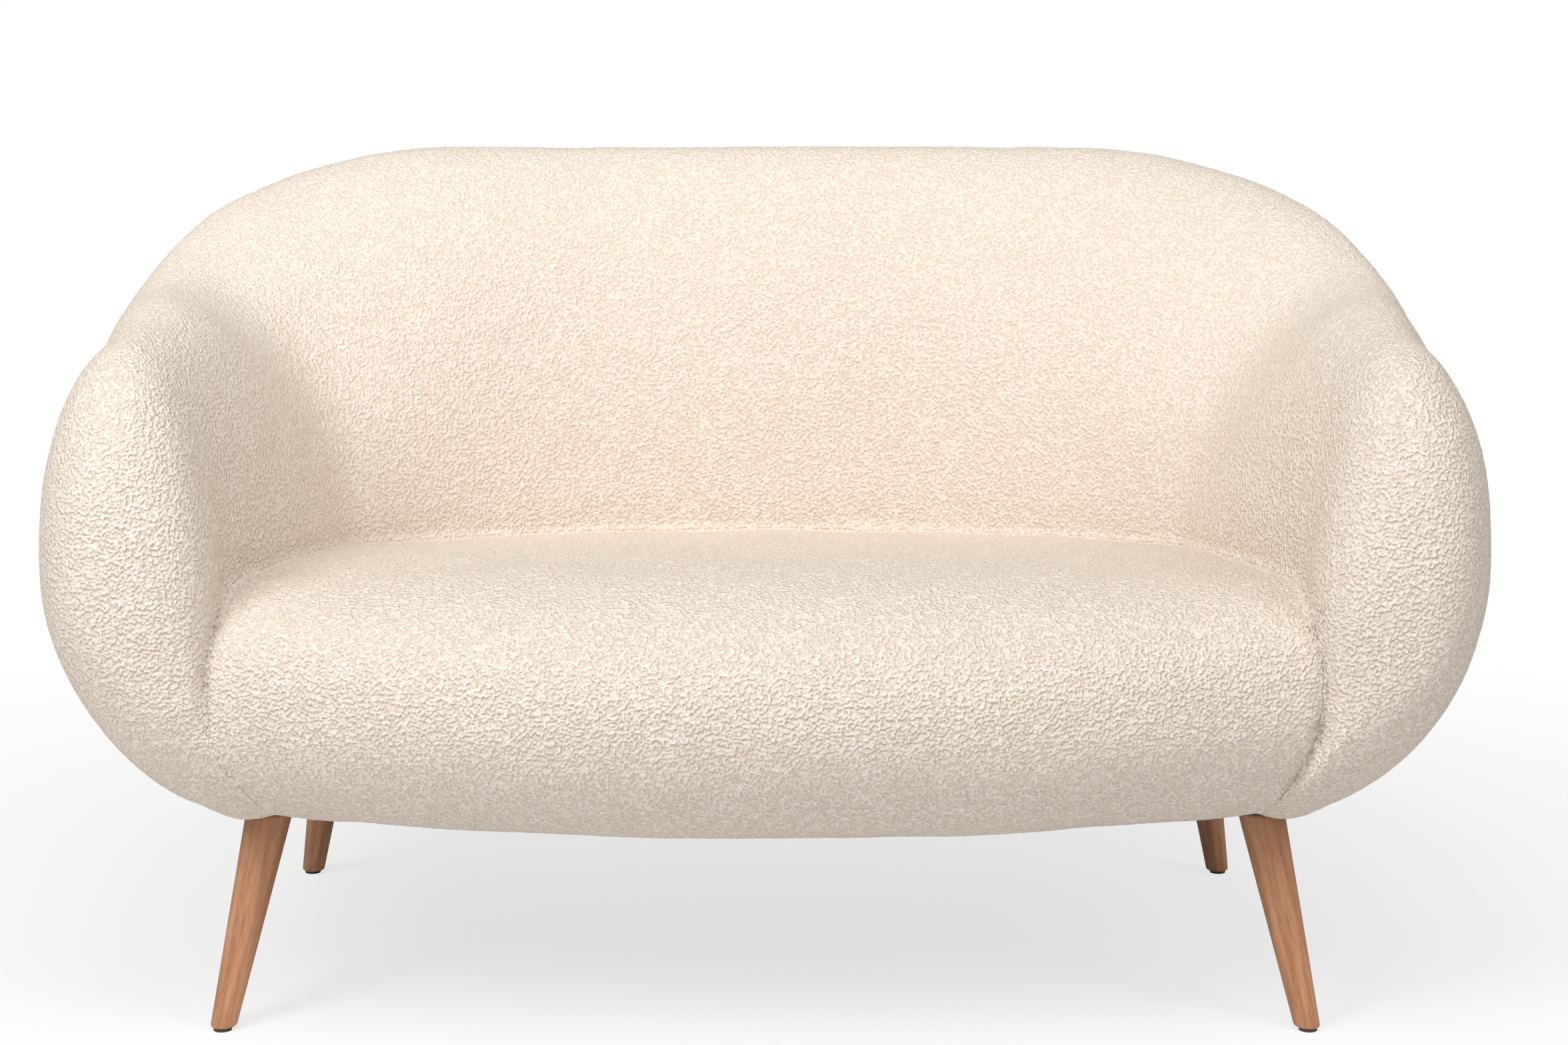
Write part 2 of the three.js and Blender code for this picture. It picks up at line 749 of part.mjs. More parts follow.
// Leg blocks, glued to the boards and the side aprons
const frameRoom = coreSolid(gap);
const blockHigh = boardTop + gap + blockHeight;
function blockBox({ side, end, foot, rise }, extra) {
  const inner = sideApron[1] + gap - extra;
  const outer = inner + blockLength + 2 * extra;
  const drilledY = foot.y + rise.y * (boardTop + blockHeight / 2);
  const centreY = Math.max(drilledY, -boardFront + blockLength / 2);
  const reach = blockLength / 2 + extra;
  return box(side < 0 ? [-outer, -inner] : [inner, outer], [centreY - reach, centreY + reach],
    [boardTop + gap - extra, blockHigh + extra]);
}
const blocks = corners.map((corner) => (
  blockBox(corner, 0).intersect(frameRoom).subtract(boltHoles)
));
const blockRoom = joined(corners.map((corner) => blockBox(corner, gap)));

// Aprons and the stretcher between them
const apronLow = boardTop + gap;
const apronHigh = webbingTop - webbingThickness - gap;
const sideApronHigh = apronHigh - webbingThickness - gap;
const sideRun = [frontApron[1] + gap, rearApron[0] - gap];
const apronBoxes = {
  front: [[-sideApron[1], sideApron[1]], frontApron, [apronLow, apronHigh]],
  rear: [[-sideApron[1], sideApron[1]], rearApron, [apronLow, apronHigh]],
  left: [[-sideApron[1], -sideApron[0]], sideRun, [apronLow, sideApronHigh]],
  right: [sideApron, sideRun, [apronLow, sideApronHigh]],
};
const grown = ([low, high]) => [low - gap, high + gap];
const apronRoom = joined(Object.values(apronBoxes).map((sides) => box(...sides.map(grown))));
const stretcher = box([-apronThickness / 2, apronThickness / 2], sideRun,
  [apronLow, apronLow + stretcherHeight]);

// Webbing of the seat, spread evenly between the aprons
const spread = (from, to, count) => Array.from({ length: count }, (_, i) => (
  mix(from, to, i / (count - 1))
));
const webInset = webbingWidth / 2;
const seatWebReach = sideApron[0] - seatWebEnd - webInset;
const seatWebs = spread(-seatWebReach, seatWebReach, seatWebCount).map((x) => {
  return box([x - webInset, x + webInset], [frontApron[0], rearApron[1]],
    [apronHigh + gap, webbingTop]);
});
const crossWebInset = crossWebEnd + webInset;
const crossWebRun = [sideRun[0] + crossWebInset, sideRun[1] - crossWebInset];
const crossWebs = spread(...crossWebRun, crossWebCount).map((y) => {
  return box([-sideApron[1], sideApron[1]], [y - webInset, y + webInset],
    [sideApronHigh + gap, apronHigh]);
});

// Ribs, rails and back webbing
const panelPlace = widestPlace + boardFront - gap - ribThickness / 2;
const halfRib = ribThickness / 2;
const crestRailLow = backCrest - clothThickness - outerFoam - railHeight;
const backWebHeights = spread(
  innerHeight + backWebRise, crestRailLow - backWebDrop - webbingWidth, backWebCount,
);
const lowRailStrip = (reach, extra, cover) => strip(-reach, reach, () => {
  const outer = lowRailInset - extra - cover;
  const inner = lowRailInset + railThickness + extra;
  const low = lowRailHeight - extra;
  const high = lowRailHeight + railHeight + extra;
  return [[inner, low], [outer, low], [outer, high], [inner, high]];
});
const backSpan = cornerRibPlace - halfRib - gap;
const sideSpan = [cornerRibPlace + halfRib + gap, panelPlace - halfRib - gap];
const cornerPlates = joined([-1, 1].map((side) => (
  plateAt(side * cornerRibPlace, ribThickness + 2 * gap)
)));
const rails = {
  crest_rail_back: crestStrip(-backSpan, backSpan, 0),
  crest_rail_left: crestStrip(-sideSpan[1], -cornerRibPlace, 0),
  crest_rail_right: crestStrip(cornerRibPlace, sideSpan[1], 0),
  low_back_rail: lowRailStrip(backSpan, 0, 0),
};
const notches = joined([
  crestStrip(-backSpan, backSpan, gap),
  crestStrip(-sideSpan[1], -sideSpan[0], gap),
  crestStrip(sideSpan[0], sideSpan[1], gap),
  lowRailStrip(backSpan, gap, overrun),
  ...backWebHeights.map((height) => backWebStrip(height, gap, overrun)),
]);
const backWebs = backWebHeights.map((height) => backWebStrip(height, 0, 0));
const ribPlaces = {
  rib_back_centre: 0,
  rib_back_left: -backRibPlace,
  rib_back_right: backRibPlace,
  rib_corner_left: -cornerRibPlace,
  rib_corner_right: cornerRibPlace,
  rib_arm_left: -armRibPlace,
  rib_arm_right: armRibPlace,
  arm_front_panel_left: -panelPlace,
  arm_front_panel_right: panelPlace,
};
const ribCuts = joined([notches, blockRoom, apronRoom]);
const ribs = Object.fromEntries(Object.entries(ribPlaces).map(([name, along]) => (
  [name, plateAt(along, ribThickness).intersect(frameRoom).subtract(ribCuts)]
)));

// Foam round the frame, in five pieces
const foamInset = {
  ...evenInset(clothThickness + foamSlack), nose: clothThickness + noseSlack,
};
const backWebRoom = backWebHeights.map((height) => backWebStrip(height, gap, gap));
const apronFrame = box(grown([-sideApron[1], sideApron[1]]),
  grown([frontApron[0], rearApron[1]]), grown([apronLow, apronHigh]));
const foamBody = shellSolid(foamInset).subtract(
  joined([coreSolid(0), recess, legClearance, blockRoom, apronFrame, ...backWebRoom]),
);
const tall = [-overrun, backCrest + overrun];
const far = halfWidth + overrun;
const backFoamHalf = halfWidth - cornerFoamReach;
const foams = {
  back_foam: box([-backFoamHalf, backFoamHalf], [0, far], tall),
  corner_foam_left: box([-far, -backFoamHalf - gap], [gap / 2, far], tall),
  corner_foam_right: box([backFoamHalf + gap, far], [gap / 2, far], tall),
  arm_foam_left: box([-far, -backFoamHalf - gap], [-far, -gap / 2], tall),
  arm_foam_right: box([backFoamHalf + gap, far], [-far, -gap / 2], tall),
};

// Seat foam over the webbing and the front roll before the frame
const shellRoom = outsideSolid(gap);
const seatFilling = seatSolid(clothThickness + gap).subtract(shellRoom);
const seatFoam = seatFilling.intersect(between(webbingTop + gap, tall[1]));
const frontRoll = seatFilling.intersect(box(everywhere, [-far, -boardFront - gap],
  [-overrun, webbingTop]));

// Covers
const underside = (cover) => cover.subtract(recess).subtract(legClearance);
const seatCover = underside(
  seatSolid(0).subtract(seatSolid(clothThickness)).subtract(shellRoom),
);
const cambric = prism(boardOutline(gap), [boardBase - gap - cambricThickness, boardBase - gap])
  .subtract(legClearance);

const sofa = new THREE.Group();
sofa.position.y = -middleY;
function add(name, solid, finish) {
  const mesh = new THREE.Mesh(geometryOf(solid), new THREE.MeshStandardMaterial(finish));
  mesh.name = name;
  sofa.add(mesh);
}

corners.forEach((corner, i) => {
  add(`leg_${corner.name}`, legBlank(corner, 0)
    .intersect(between(glideHeight + gap, legTop)).subtract(boltHoles), finishes.leg);
  add(`hanger_bolt_${corner.name}`, bolts[i], finishes.steel);
  add(`leg_block_${corner.name}`, blocks[i], finishes.hardwood);
  const glide = new THREE.CylinderGeometry(glideRadius, glideRadius, glideHeight, legSideCount);
  glide.rotateX(quarter);
  glide.translate(corner.foot.x, corner.foot.y, glideHeight / 2);
  add(`foot_glide_${corner.name}`, solidOf(glide), finishes.glide);
});
for (const [name, solid] of Object.entries(boards)) {
  add(`base_board_${name}`, solid, finishes.plywood);
}
for (const [name, sides] of Object.entries(apronBoxes)) {
  add(`apron_${name}`, box(...sides), finishes.hardwood);
}
add('seat_stretcher', stretcher, finishes.hardwood);
seatWebs.forEach((solid, i) => add(`seat_web_${i + 1}`, solid, finishes.webbing));
crossWebs.forEach((solid, i) => add(`cross_web_${i + 1}`, solid, finishes.webbing));
backWebs.forEach((solid, i) => add(`back_web_${i + 1}`, solid, finishes.webbing));
for (const [name, solid] of Object.entries(rails)) {
  add(name, solid.intersect(frameRoom).subtract(cornerPlates), finishes.hardwood);
}
for (const [name, solid] of Object.entries(ribs)) add(name, solid, finishes.plywood);
for (const [name, zone] of Object.entries(foams)) {
  add(name, foamBody.intersect(zone), finishes.foam);
}
add('seat_foam', seatFoam, finishes.foam);
add('front_roll_foam', frontRoll, finishes.foam);
add('inner_cover', underside(innerCover()), finishes.boucle);
add('outer_cover', underside(outerCover()), finishes.boucle);
add('seat_cover', seatCover, finishes.boucle);
add('dust_cover', cambric, finishes.cambric);

export default sofa;
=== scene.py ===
import json
import math

import bmesh
import bpy
import numpy as np
from mathutils import Matrix, Vector
from mathutils.bvhtree import BVHTree
from mathutils.kdtree import KDTree


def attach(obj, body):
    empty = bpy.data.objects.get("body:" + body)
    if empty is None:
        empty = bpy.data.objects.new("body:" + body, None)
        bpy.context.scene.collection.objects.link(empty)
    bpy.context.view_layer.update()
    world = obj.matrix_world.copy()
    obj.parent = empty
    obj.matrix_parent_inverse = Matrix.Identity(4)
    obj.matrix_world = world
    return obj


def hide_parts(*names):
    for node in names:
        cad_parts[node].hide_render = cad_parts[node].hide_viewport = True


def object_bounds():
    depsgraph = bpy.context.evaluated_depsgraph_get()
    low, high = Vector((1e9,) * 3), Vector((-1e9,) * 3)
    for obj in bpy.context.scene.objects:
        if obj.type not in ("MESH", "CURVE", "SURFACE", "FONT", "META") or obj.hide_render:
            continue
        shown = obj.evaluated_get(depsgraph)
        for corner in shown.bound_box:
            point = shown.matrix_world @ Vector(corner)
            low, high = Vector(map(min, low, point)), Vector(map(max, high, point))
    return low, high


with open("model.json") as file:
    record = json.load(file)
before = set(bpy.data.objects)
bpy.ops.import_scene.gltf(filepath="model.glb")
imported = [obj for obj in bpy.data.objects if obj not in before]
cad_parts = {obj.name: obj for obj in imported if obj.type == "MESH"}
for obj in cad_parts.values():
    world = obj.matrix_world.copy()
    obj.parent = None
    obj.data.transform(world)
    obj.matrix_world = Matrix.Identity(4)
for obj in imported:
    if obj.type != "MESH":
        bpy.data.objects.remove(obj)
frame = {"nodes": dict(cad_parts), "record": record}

# Curved two-seat sofa: cream boucle over a tub-shaped shell, a tight crowned seat, four turned
# splayed legs. Metres, +Z up, +Y to the back.
cad_low, cad_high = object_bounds()
scene = bpy.context.scene

# Shell: plan, heights and section, the same sizes as the model's
HALF_WIDTH, BACK_REACH, BACK_SQUARENESS = 0.704, 0.445, 2.8
ARM_CURVE, ARM_SQUARENESS, ARM_REACH = 1.1, 3.0, 0.322
NOSE_LENGTH, NOSE_ROUNDNESS, NOSE_INNER_ROUNDNESS, NOSE_FLARE = 0.168, 2.2, 4.5, 0.020
BODY_BASE, WIDEST_HEIGHT, INNER_HEIGHT, NOSE_HEIGHT = 0.203, 0.464, 0.430, 0.408
ARM = dict(crest=0.665, crest_inset=0.088, thickness=0.174, tuck=0.205, toe=0.212, lean=0.0,
           outer_top=2.1, inner_top=2.1, outer_base=1.85)
BACK = dict(crest=0.848, crest_inset=0.062, thickness=0.200, tuck=0.095, toe=0.205, lean=0.032,
            outer_top=3.4, inner_top=2.1, outer_base=2.0)
CREST_SETBACK, CREST_REACH = 0.596, 0.154
BLEND_SETBACK, BLEND_REACH = 0.406, 0.114
CORNER_PAD, CORNER_ROUNDNESS, CORNER_SOFTENING = 0.062, 1.8, 0.055
CREST_DIP, CREST_DIP_SETBACK, CREST_WAVE_REACH = 0.013, 0.180, 0.090
CREST_SWELL, CREST_TURN, CREST_SWELL_FADE = 0.020, 0.030, 0.170
PAD_START_SETBACK, PAD_FULL_SETBACK, PAD_FADE_SETBACK, PAD_END_REACH = 0.850, 0.350, 0.040, 0.240

# Seat
SEAT_FRONT, SEAT_BOW, SEAT_BOW_SQUARENESS = 0.360, 0.068, 2.4
SEAT_CROWN, SEAT_REAR, SEAT_SIDE_DROP = 0.450, 0.420, 0.010
CROWN_SETBACK, SEAT_OVERREACH = 0.190, 0.016
ROLL_HEIGHT, ROLL_ROUNDNESS, ROLL_SIDE_ROUNDNESS = 0.332, 2.2, 3.0
BELLY_DEPTH, BELLY_SIDE_DEPTH, BELLY_DROP, BELLY_ROUNDNESS = 0.158, 0.190, 0.008, 2.0
MIDDLE_Y = -cad_low.y - SEAT_FRONT

# The wooden frame inside, which the padding goes round
BOARD_FRONT, BOARD_TOP, WEBBING_TOP = 0.190, 0.225, 0.309
ARM_BOARD_INSET, BACK_BOARD_INSET = 0.170, 0.080
OUTER_PADDING, INNER_PADDING = 0.028, 0.063
ARM_CORE_TOE, BACK_CORE_TOE = 0.268, 0.235

# Grid of the cloth's mesh and step between the rings of the tools that it is cut with
CLOTH_GRID = 0.004
BASE_GRID = 0.006

# Space kept between pieces, how far cutting tools reach past the cloth, the outer cover's depth,
# and where on the way from the widest height to the crest its seam lies
CLEAR = 0.0008
OVERRUN = 0.04
OUTER_DEPTH = 0.012
SEAM_SHARE = 0.4

# Length round a ring of the shell and of the seat, and how many points the other lines get
SHELL_GIRTH, SEAT_GIRTH = 1.62, 1.9
OUTLINE_POINTS, NOSE_POINTS, QUARTER_POINTS, TOE_POINTS = 1500, 400, 60, 8
CORE_POINTS, INSIDE_POINTS, PANEL_POINTS = 200, 90, 80
SEAM_ALONG_POINTS, SEAM_SIDE_POINTS = 1100, 260


def smoothstep(low, high, value):
    t = np.clip((value - low) / (high - low), 0, 1)
    return t * t * (3 - 2 * t)


def mix(a, b, share):
    return a + (b - a) * share


def signed_power(value, exponent):
    return np.sign(value) * np.abs(value) ** exponent


def trace_outline():
    """The plan outline from the middle of the back to the front of the arm, by arc length."""
    angle = np.linspace(math.pi / 2, 0, OUTLINE_POINTS)
    back = np.column_stack([
        HALF_WIDTH * np.cos(angle) ** (2 / BACK_SQUARENESS),
        BACK_REACH * np.sin(angle) ** (2 / BACK_SQUARENESS),
    ])
    y = np.linspace(0, -ARM_REACH, OUTLINE_POINTS)[1:]
    share = (1 - (-y / ARM_CURVE) ** ARM_SQUARENESS) ** (1 / ARM_SQUARENESS)
    points = np.vstack([back, np.column_stack([HALF_WIDTH * share, y])])
    steps = np.linalg.norm(np.diff(points, axis=0), axis=1)
    lengths = np.concatenate([[0], np.cumsum(steps)])
    return points, lengths, lengths[OUTLINE_POINTS - 1]


OUTLINE, LENGTHS, WIDEST = trace_outline()
TOTAL = LENGTHS[-1]
NOSE_START = TOTAL - NOSE_LENGTH

# The outline's direction is taken over this length, and held level at the middle of the back
TANGENT_REACH = TOTAL / 240
LEVEL_HOLD = 20


def outline_frame(along):
    """Point of the outline and its inward direction, by the signed distance along it."""
    side = -1.0 if along < 0 else 1.0
    s = min(abs(along), TOTAL)

    def at(place):
        return np.array([np.interp(place, LENGTHS, OUTLINE[:, k]) for k in (0, 1)])

    middle = min(s, TOTAL - TANGENT_REACH)
    if middle < TANGENT_REACH:
        tangent = mix(np.array([1.0, 0.0]), at(2 * TANGENT_REACH) - at(0),
                      middle / TANGENT_REACH / LEVEL_HOLD)
    else:
        tangent = at(middle + TANGENT_REACH) - at(middle - TANGENT_REACH)
    tangent /= np.linalg.norm(tangent)
    origin = at(s)
    return (np.array([side * origin[0], origin[1]]),
            np.array([side * tangent[1], -tangent[0]]))


def back_share(along):
    """0 at the arms and 1 at the back."""
    return 1 - smoothstep(WIDEST - BLEND_SETBACK, WIDEST + BLEND_REACH, abs(along))


def pad_share(along):
    """1 where the arms turn into the back and the shell is padded inside, 0 elsewhere."""
    s = abs(along)
    return (smoothstep(WIDEST - PAD_START_SETBACK, WIDEST - PAD_FULL_SETBACK, s)
            * (1 - smoothstep(WIDEST - PAD_FADE_SETBACK, WIDEST + PAD_END_REACH, s)))


def section_at(along):
    """Sizes of the shell's section at a place along the outline."""
    s = abs(along)
    back = back_share(along)
    rise = 1 - smoothstep(WIDEST - CREST_SETBACK, WIDEST + CREST_REACH, s)
    flare = NOSE_FLARE * smoothstep(NOSE_START, TOTAL, s)
    pad = pad_share(s)
    section = {k: mix(ARM[k], BACK[k], back) for k in ARM}
    dip = math.exp(-((s - WIDEST + CREST_DIP_SETBACK) / CREST_WAVE_REACH) ** 2)
    past = s - WIDEST - CREST_TURN
    swell = math.exp(-(past / (CREST_WAVE_REACH if past < 0 else CREST_SWELL_FADE)) ** 2)
    section["crest"] = (mix(ARM["crest"], BACK["crest"], rise)
                        - CREST_DIP * dip + CREST_SWELL * swell)
    section["thickness"] += flare + CORNER_PAD * pad
    section["inner_top"] = mix(section["inner_top"], CORNER_ROUNDNESS, pad)
    section["toe"] += flare
    return section


def section_points(section, outer=0.0, inner=0.0, top=0.0, base=0.0, toe=None):
    """Inwards distance and height of a section's points, and where each of its parts ends.

    They run from the inner toe round the outside and over the crest. The four depths move the
    surface inwards.
    """
    low = BODY_BASE + base
    high = section["crest"] - top
    quarter = np.linspace(0, math.pi / 2, QUARTER_POINTS)

    def corner(cx, cz, sx, sz, exponent, start):
        a = start + quarter
        return np.column_stack([
            cx - sx * signed_power(np.cos(a), 2 / exponent),
            cz + sz * signed_power(np.sin(a), 2 / exponent),
        ])

    tuck, inset, thick = section["tuck"], section["crest_inset"], section["thickness"]
    toe = section["toe"] - inner if toe is None else toe
    parts = [
        np.column_stack([np.linspace(toe, tuck, TOE_POINTS), np.full(TOE_POINTS, low)])[:-1],
        corner(tuck, WIDEST_HEIGHT, tuck - outer, WIDEST_HEIGHT - low, section["outer_base"],
               -math.pi / 2),
        corner(inset, WIDEST_HEIGHT, inset - outer, high - WIDEST_HEIGHT,
               section["outer_top"], 0)[1:],
        corner(inset, INNER_HEIGHT, thick - inset - inner, high - INNER_HEIGHT,
               section["inner_top"], math.pi / 2)[1:],
    ]
    flat = np.vstack(parts)
    above = np.maximum(flat[:, 1] - WIDEST_HEIGHT, 0) / (section["crest"] - WIDEST_HEIGHT)
    flat[:, 0] -= section["lean"] * above
    marks = np.cumsum([len(p) for p in parts])
    return flat, marks


def resampled(line, count, closed=True):
    """The line with evenly spaced points."""
    if closed:
        line = np.vstack([line, line[:1]])
    steps = np.linalg.norm(np.diff(line, axis=0), axis=1)
    lengths = np.concatenate([[0], np.cumsum(steps)])
    places = np.linspace(0, lengths[-1], count, endpoint=not closed)
    return np.column_stack([np.interp(places, lengths, line[:, k]) for k in (0, 1)])


def shaped(flat, section, angle):
    """The nose closes down about its own middle."""
    centre = np.array([section["crest_inset"], NOSE_HEIGHT])
    arm = flat - centre
    innerness = np.maximum(arm[:, 0], 0) ** 2 / (arm ** 2).sum(1)
    exponent = mix(NOSE_ROUNDNESS, NOSE_INNER_ROUNDNESS, innerness)
    return centre + arm * (np.cos(angle) ** (2 / exponent))[:, None]


def stood(flat, along):
    """A section's points in space, at its place along the outline."""
    origin, inward = outline_frame(along)
    return np.column_stack([origin[0] + inward[0] * flat[:, 0],
                            origin[1] + inward[1] * flat[:, 0] - MIDDLE_Y, flat[:, 1]])


def nose_angles(step):
    fine = np.linspace(0, math.pi / 2, NOSE_POINTS)
    reach = NOSE_LENGTH * np.sin(fine) ** (2 / NOSE_ROUNDNESS)
    fall = (WIDEST_HEIGHT - BODY_BASE) * np.cos(fine) ** (2 / NOSE_ROUNDNESS)
    lengths = np.concatenate([[0], np.cumsum(np.hypot(np.diff(reach), np.diff(fall)))])
    count = int(lengths[-1] / step)
    return np.interp(np.linspace(0, lengths[-1], count + 1)[:-1], lengths, fine)


def stations(step):
    """Places along the outline, each with the angle by which the nose closes down there."""
    angles = nose_angles(step)
    count = int(2 * NOSE_START / step)
    body = np.linspace(-NOSE_START, NOSE_START, count + 1)[1:-1]
    reach = NOSE_START + NOSE_LENGTH * np.sin(angles) ** (2 / NOSE_ROUNDNESS)
    return ([(-s, a) for s, a in zip(reach[::-1], angles[::-1])]
            + [(s, 0.0) for s in body] + list(zip(reach, angles)))


def ring_mesh(name, rings):
    """Closed mesh over a row of rings with the same number of points, capped at both ends."""
    rows, count = len(rings), len(rings[0])
    points = np.vstack(rings)
    j, i = np.meshgrid(np.arange(rows - 1), np.arange(count), indexing="ij")
    a = (j * count + i).ravel()
    b = (j * count + (i + 1) % count).ravel()
    quads = np.column_stack([a, b, b + count, a + count])
    first = np.arange(count)[::-1]
    last = (rows - 1) * count + np.arange(count)
    ends = np.vstack([rings[0].mean(0), rings[-1].mean(0)])
    n = len(points)
    fans = [[n, first[k], first[(k + 1) % count]] for k in range(count)]
    fans += [[n + 1, last[k], last[(k + 1) % count]] for k in range(count)]
    mesh = bpy.data.meshes.new(name)
    mesh.from_pydata(np.vstack([points, ends]).tolist(), [], quads.tolist() + fans)
    mesh.update()
    piece = bpy.data.objects.new(name, mesh)
    scene.collection.objects.link(piece)
    outward(piece)
    return piece


def outward(piece):
    """Turns all faces outwards."""
    bm = bmesh.new()
    bm.from_mesh(piece.data)
    bmesh.ops.recalc_face_normals(bm, faces=bm.faces)
    if bm.calc_volume(signed=True) < 0:
        bmesh.ops.reverse_faces(bm, faces=bm.faces)
    bm.to_mesh(piece.data)
    bm.free()


def applied(piece, kind, **settings):
    """The piece with a modifier of that kind put on and applied."""
    modifier = piece.modifiers.new(kind.title(), kind)
    for key, value in settings.items():
        setattr(modifier, key, value)
    graph = bpy.context.evaluated_depsgraph_get()
    mesh = bpy.data.meshes.new_from_object(piece.evaluated_get(graph))
    piece.modifiers.clear()
    old, piece.data = piece.data, mesh
    bpy.data.meshes.remove(old)
    return piece


def removed(*pieces):
    for piece in pieces:
        bpy.data.meshes.remove(piece.data)


def coords(mesh):
    co = np.empty(len(mesh.vertices) * 3, np.float32)
    mesh.vertices.foreach_get("co", co)
    return co.reshape(-1, 3).astype(float)


def set_coords(mesh, points):
    mesh.vertices.foreach_set("co", points.astype(np.float32).ravel())
    mesh.update()


def normals(mesh):
    out = np.empty(len(mesh.vertices) * 3, np.float32)
    mesh.vertex_normals.foreach_get("vector", out)
    return out.reshape(-1, 3).astype(float)


INNER_SIDE = (0.4, 0.8)


def inner_share(flat, section, along):
    """1 on the inner side of the padded corners, 0 outside and elsewhere."""
    return pad_share(along) * smoothstep(*INNER_SIDE, flat[:, 0] / section["thickness"])


def softened(rings, places, shares):
    """Rounds the padding off inside, where the arms turn into the back."""
    places, rings = np.array(places), np.array(rings)
    spread = np.exp(-((places[:, None] - places) / CORNER_SOFTENING) ** 2 / 2)
    spread /= spread.sum(1)[:, None]
    smooth = np.tensordot(spread, rings, 1)
    return rings + (smooth - rings) * np.array(shares)[:, :, None]


def shell_rings(step):
    count = int(SHELL_GIRTH / step)
    rings, places, shares = [], [], []
    for along, angle in stations(step):
        section = section_at(along)
        flat, _ = section_points(section)
        flat = resampled(shaped(flat, section, angle), count)
        rings.append(stood(flat, along))
        places.append(along)
        shares.append(inner_share(flat, section, along))
    return softened(rings, places, shares)


def core_rings(step):
    """The room inside the padding that holds the frame."""
    into_nose = BOARD_FRONT - (ARM_REACH - NOSE_LENGTH)
    end_angle = math.asin((into_nose / NOSE_LENGTH) ** (NOSE_ROUNDNESS / 2))
    count = int(2 * NOSE_START / step)
    places = [(s, 0.0) for s in np.linspace(-NOSE_START, NOSE_START, count + 1)]
    end = NOSE_START + into_nose
    rings = []
    for along, angle in [(-end, end_angle), *places, (end, end_angle)]:
        section = section_at(along)
        flat, _ = section_points(section, OUTER_PADDING, INNER_PADDING, OUTER_PADDING,
                                 BOARD_TOP - BODY_BASE,
                                 mix(ARM_CORE_TOE, BACK_CORE_TOE, back_share(along)))
        flat = shaped(flat, section, angle)
        rings.append(stood(resampled(flat, CORE_POINTS), along))
    return rings


def recess_rings(step):
    """The recess below that room, for the base boards."""
    end = WIDEST + BOARD_FRONT
    outline = []
    for along in np.linspace(-end, end, int(2 * end / step)):
        origin, inward = outline_frame(along)
        inset = mix(ARM_BOARD_INSET, BACK_BOARD_INSET, back_share(along)) - CLEAR
        outline.append(origin + inward * inset)
    outline[0][1] = outline[-1][1] = -BOARD_FRONT - CLEAR
    plan = np.array(outline) - (0, MIDDLE_Y)
    return [np.column_stack([plan, np.full(len(plan), z)]) for z in (0, BOARD_TOP + CLEAR)]


def outside_rings(step):
    """All that lies in the shell or outside it, which the seat keeps clear of."""
    rings, places, shares = [], [], []
    high = BACK["crest"] + OVERRUN
    for along, angle in stations(step):
        section = section_at(along)
        flat, marks = section_points(section, CLEAR, CLEAR, CLEAR)
        flat = shaped(flat, section, angle)
        inner = flat[marks[2] - 1:]
        toe, crest = flat[0], inner[0]
        inner = resampled(np.vstack([inner, toe]), INSIDE_POINTS, closed=False)
        wide = np.array([[toe[0], -OVERRUN], [-OVERRUN, -OVERRUN], [-OVERRUN, high],
                         [crest[0], high]])
        flat = np.vstack([toe, wide, inner[:-1]])
        rings.append(stood(flat, along))
        places.append(along)
        shares.append(inner_share(flat, section, along))
    return softened(rings, places, shares)


def seam_mark(marks):
    """Number of the section's point where the outer cover ends."""
    return marks[1] + int(SEAM_SHARE * (marks[2] - marks[1]))


def panel_rings(step):
    """The outer cover's room: a panel round the outside from the underside to the seam."""
    count = int(2 * NOSE_START / step)
    rings = []
    for along in np.linspace(-NOSE_START, NOSE_START, count + 1):
        section = section_at(along)
        flat, marks = section_points(section)
        line = flat[marks[0] - 1:seam_mark(marks)]
        tangent = np.gradient(line, axis=0)
        tangent /= np.linalg.norm(tangent, axis=1)[:, None]
        out = np.column_stack([-tangent[:, 1], tangent[:, 0]])
        outer = resampled(line + out * OVERRUN, PANEL_POINTS, closed=False)
        inner = resampled(line - out * OUTER_DEPTH, PANEL_POINTS, closed=False)
        foot = np.array([[inner[0, 0], BODY_BASE - OVERRUN], [outer[0, 0], BODY_BASE - OVERRUN]])
        rings.append(stood(np.vstack([inner[::-1], foot, outer]), along))
    return rings


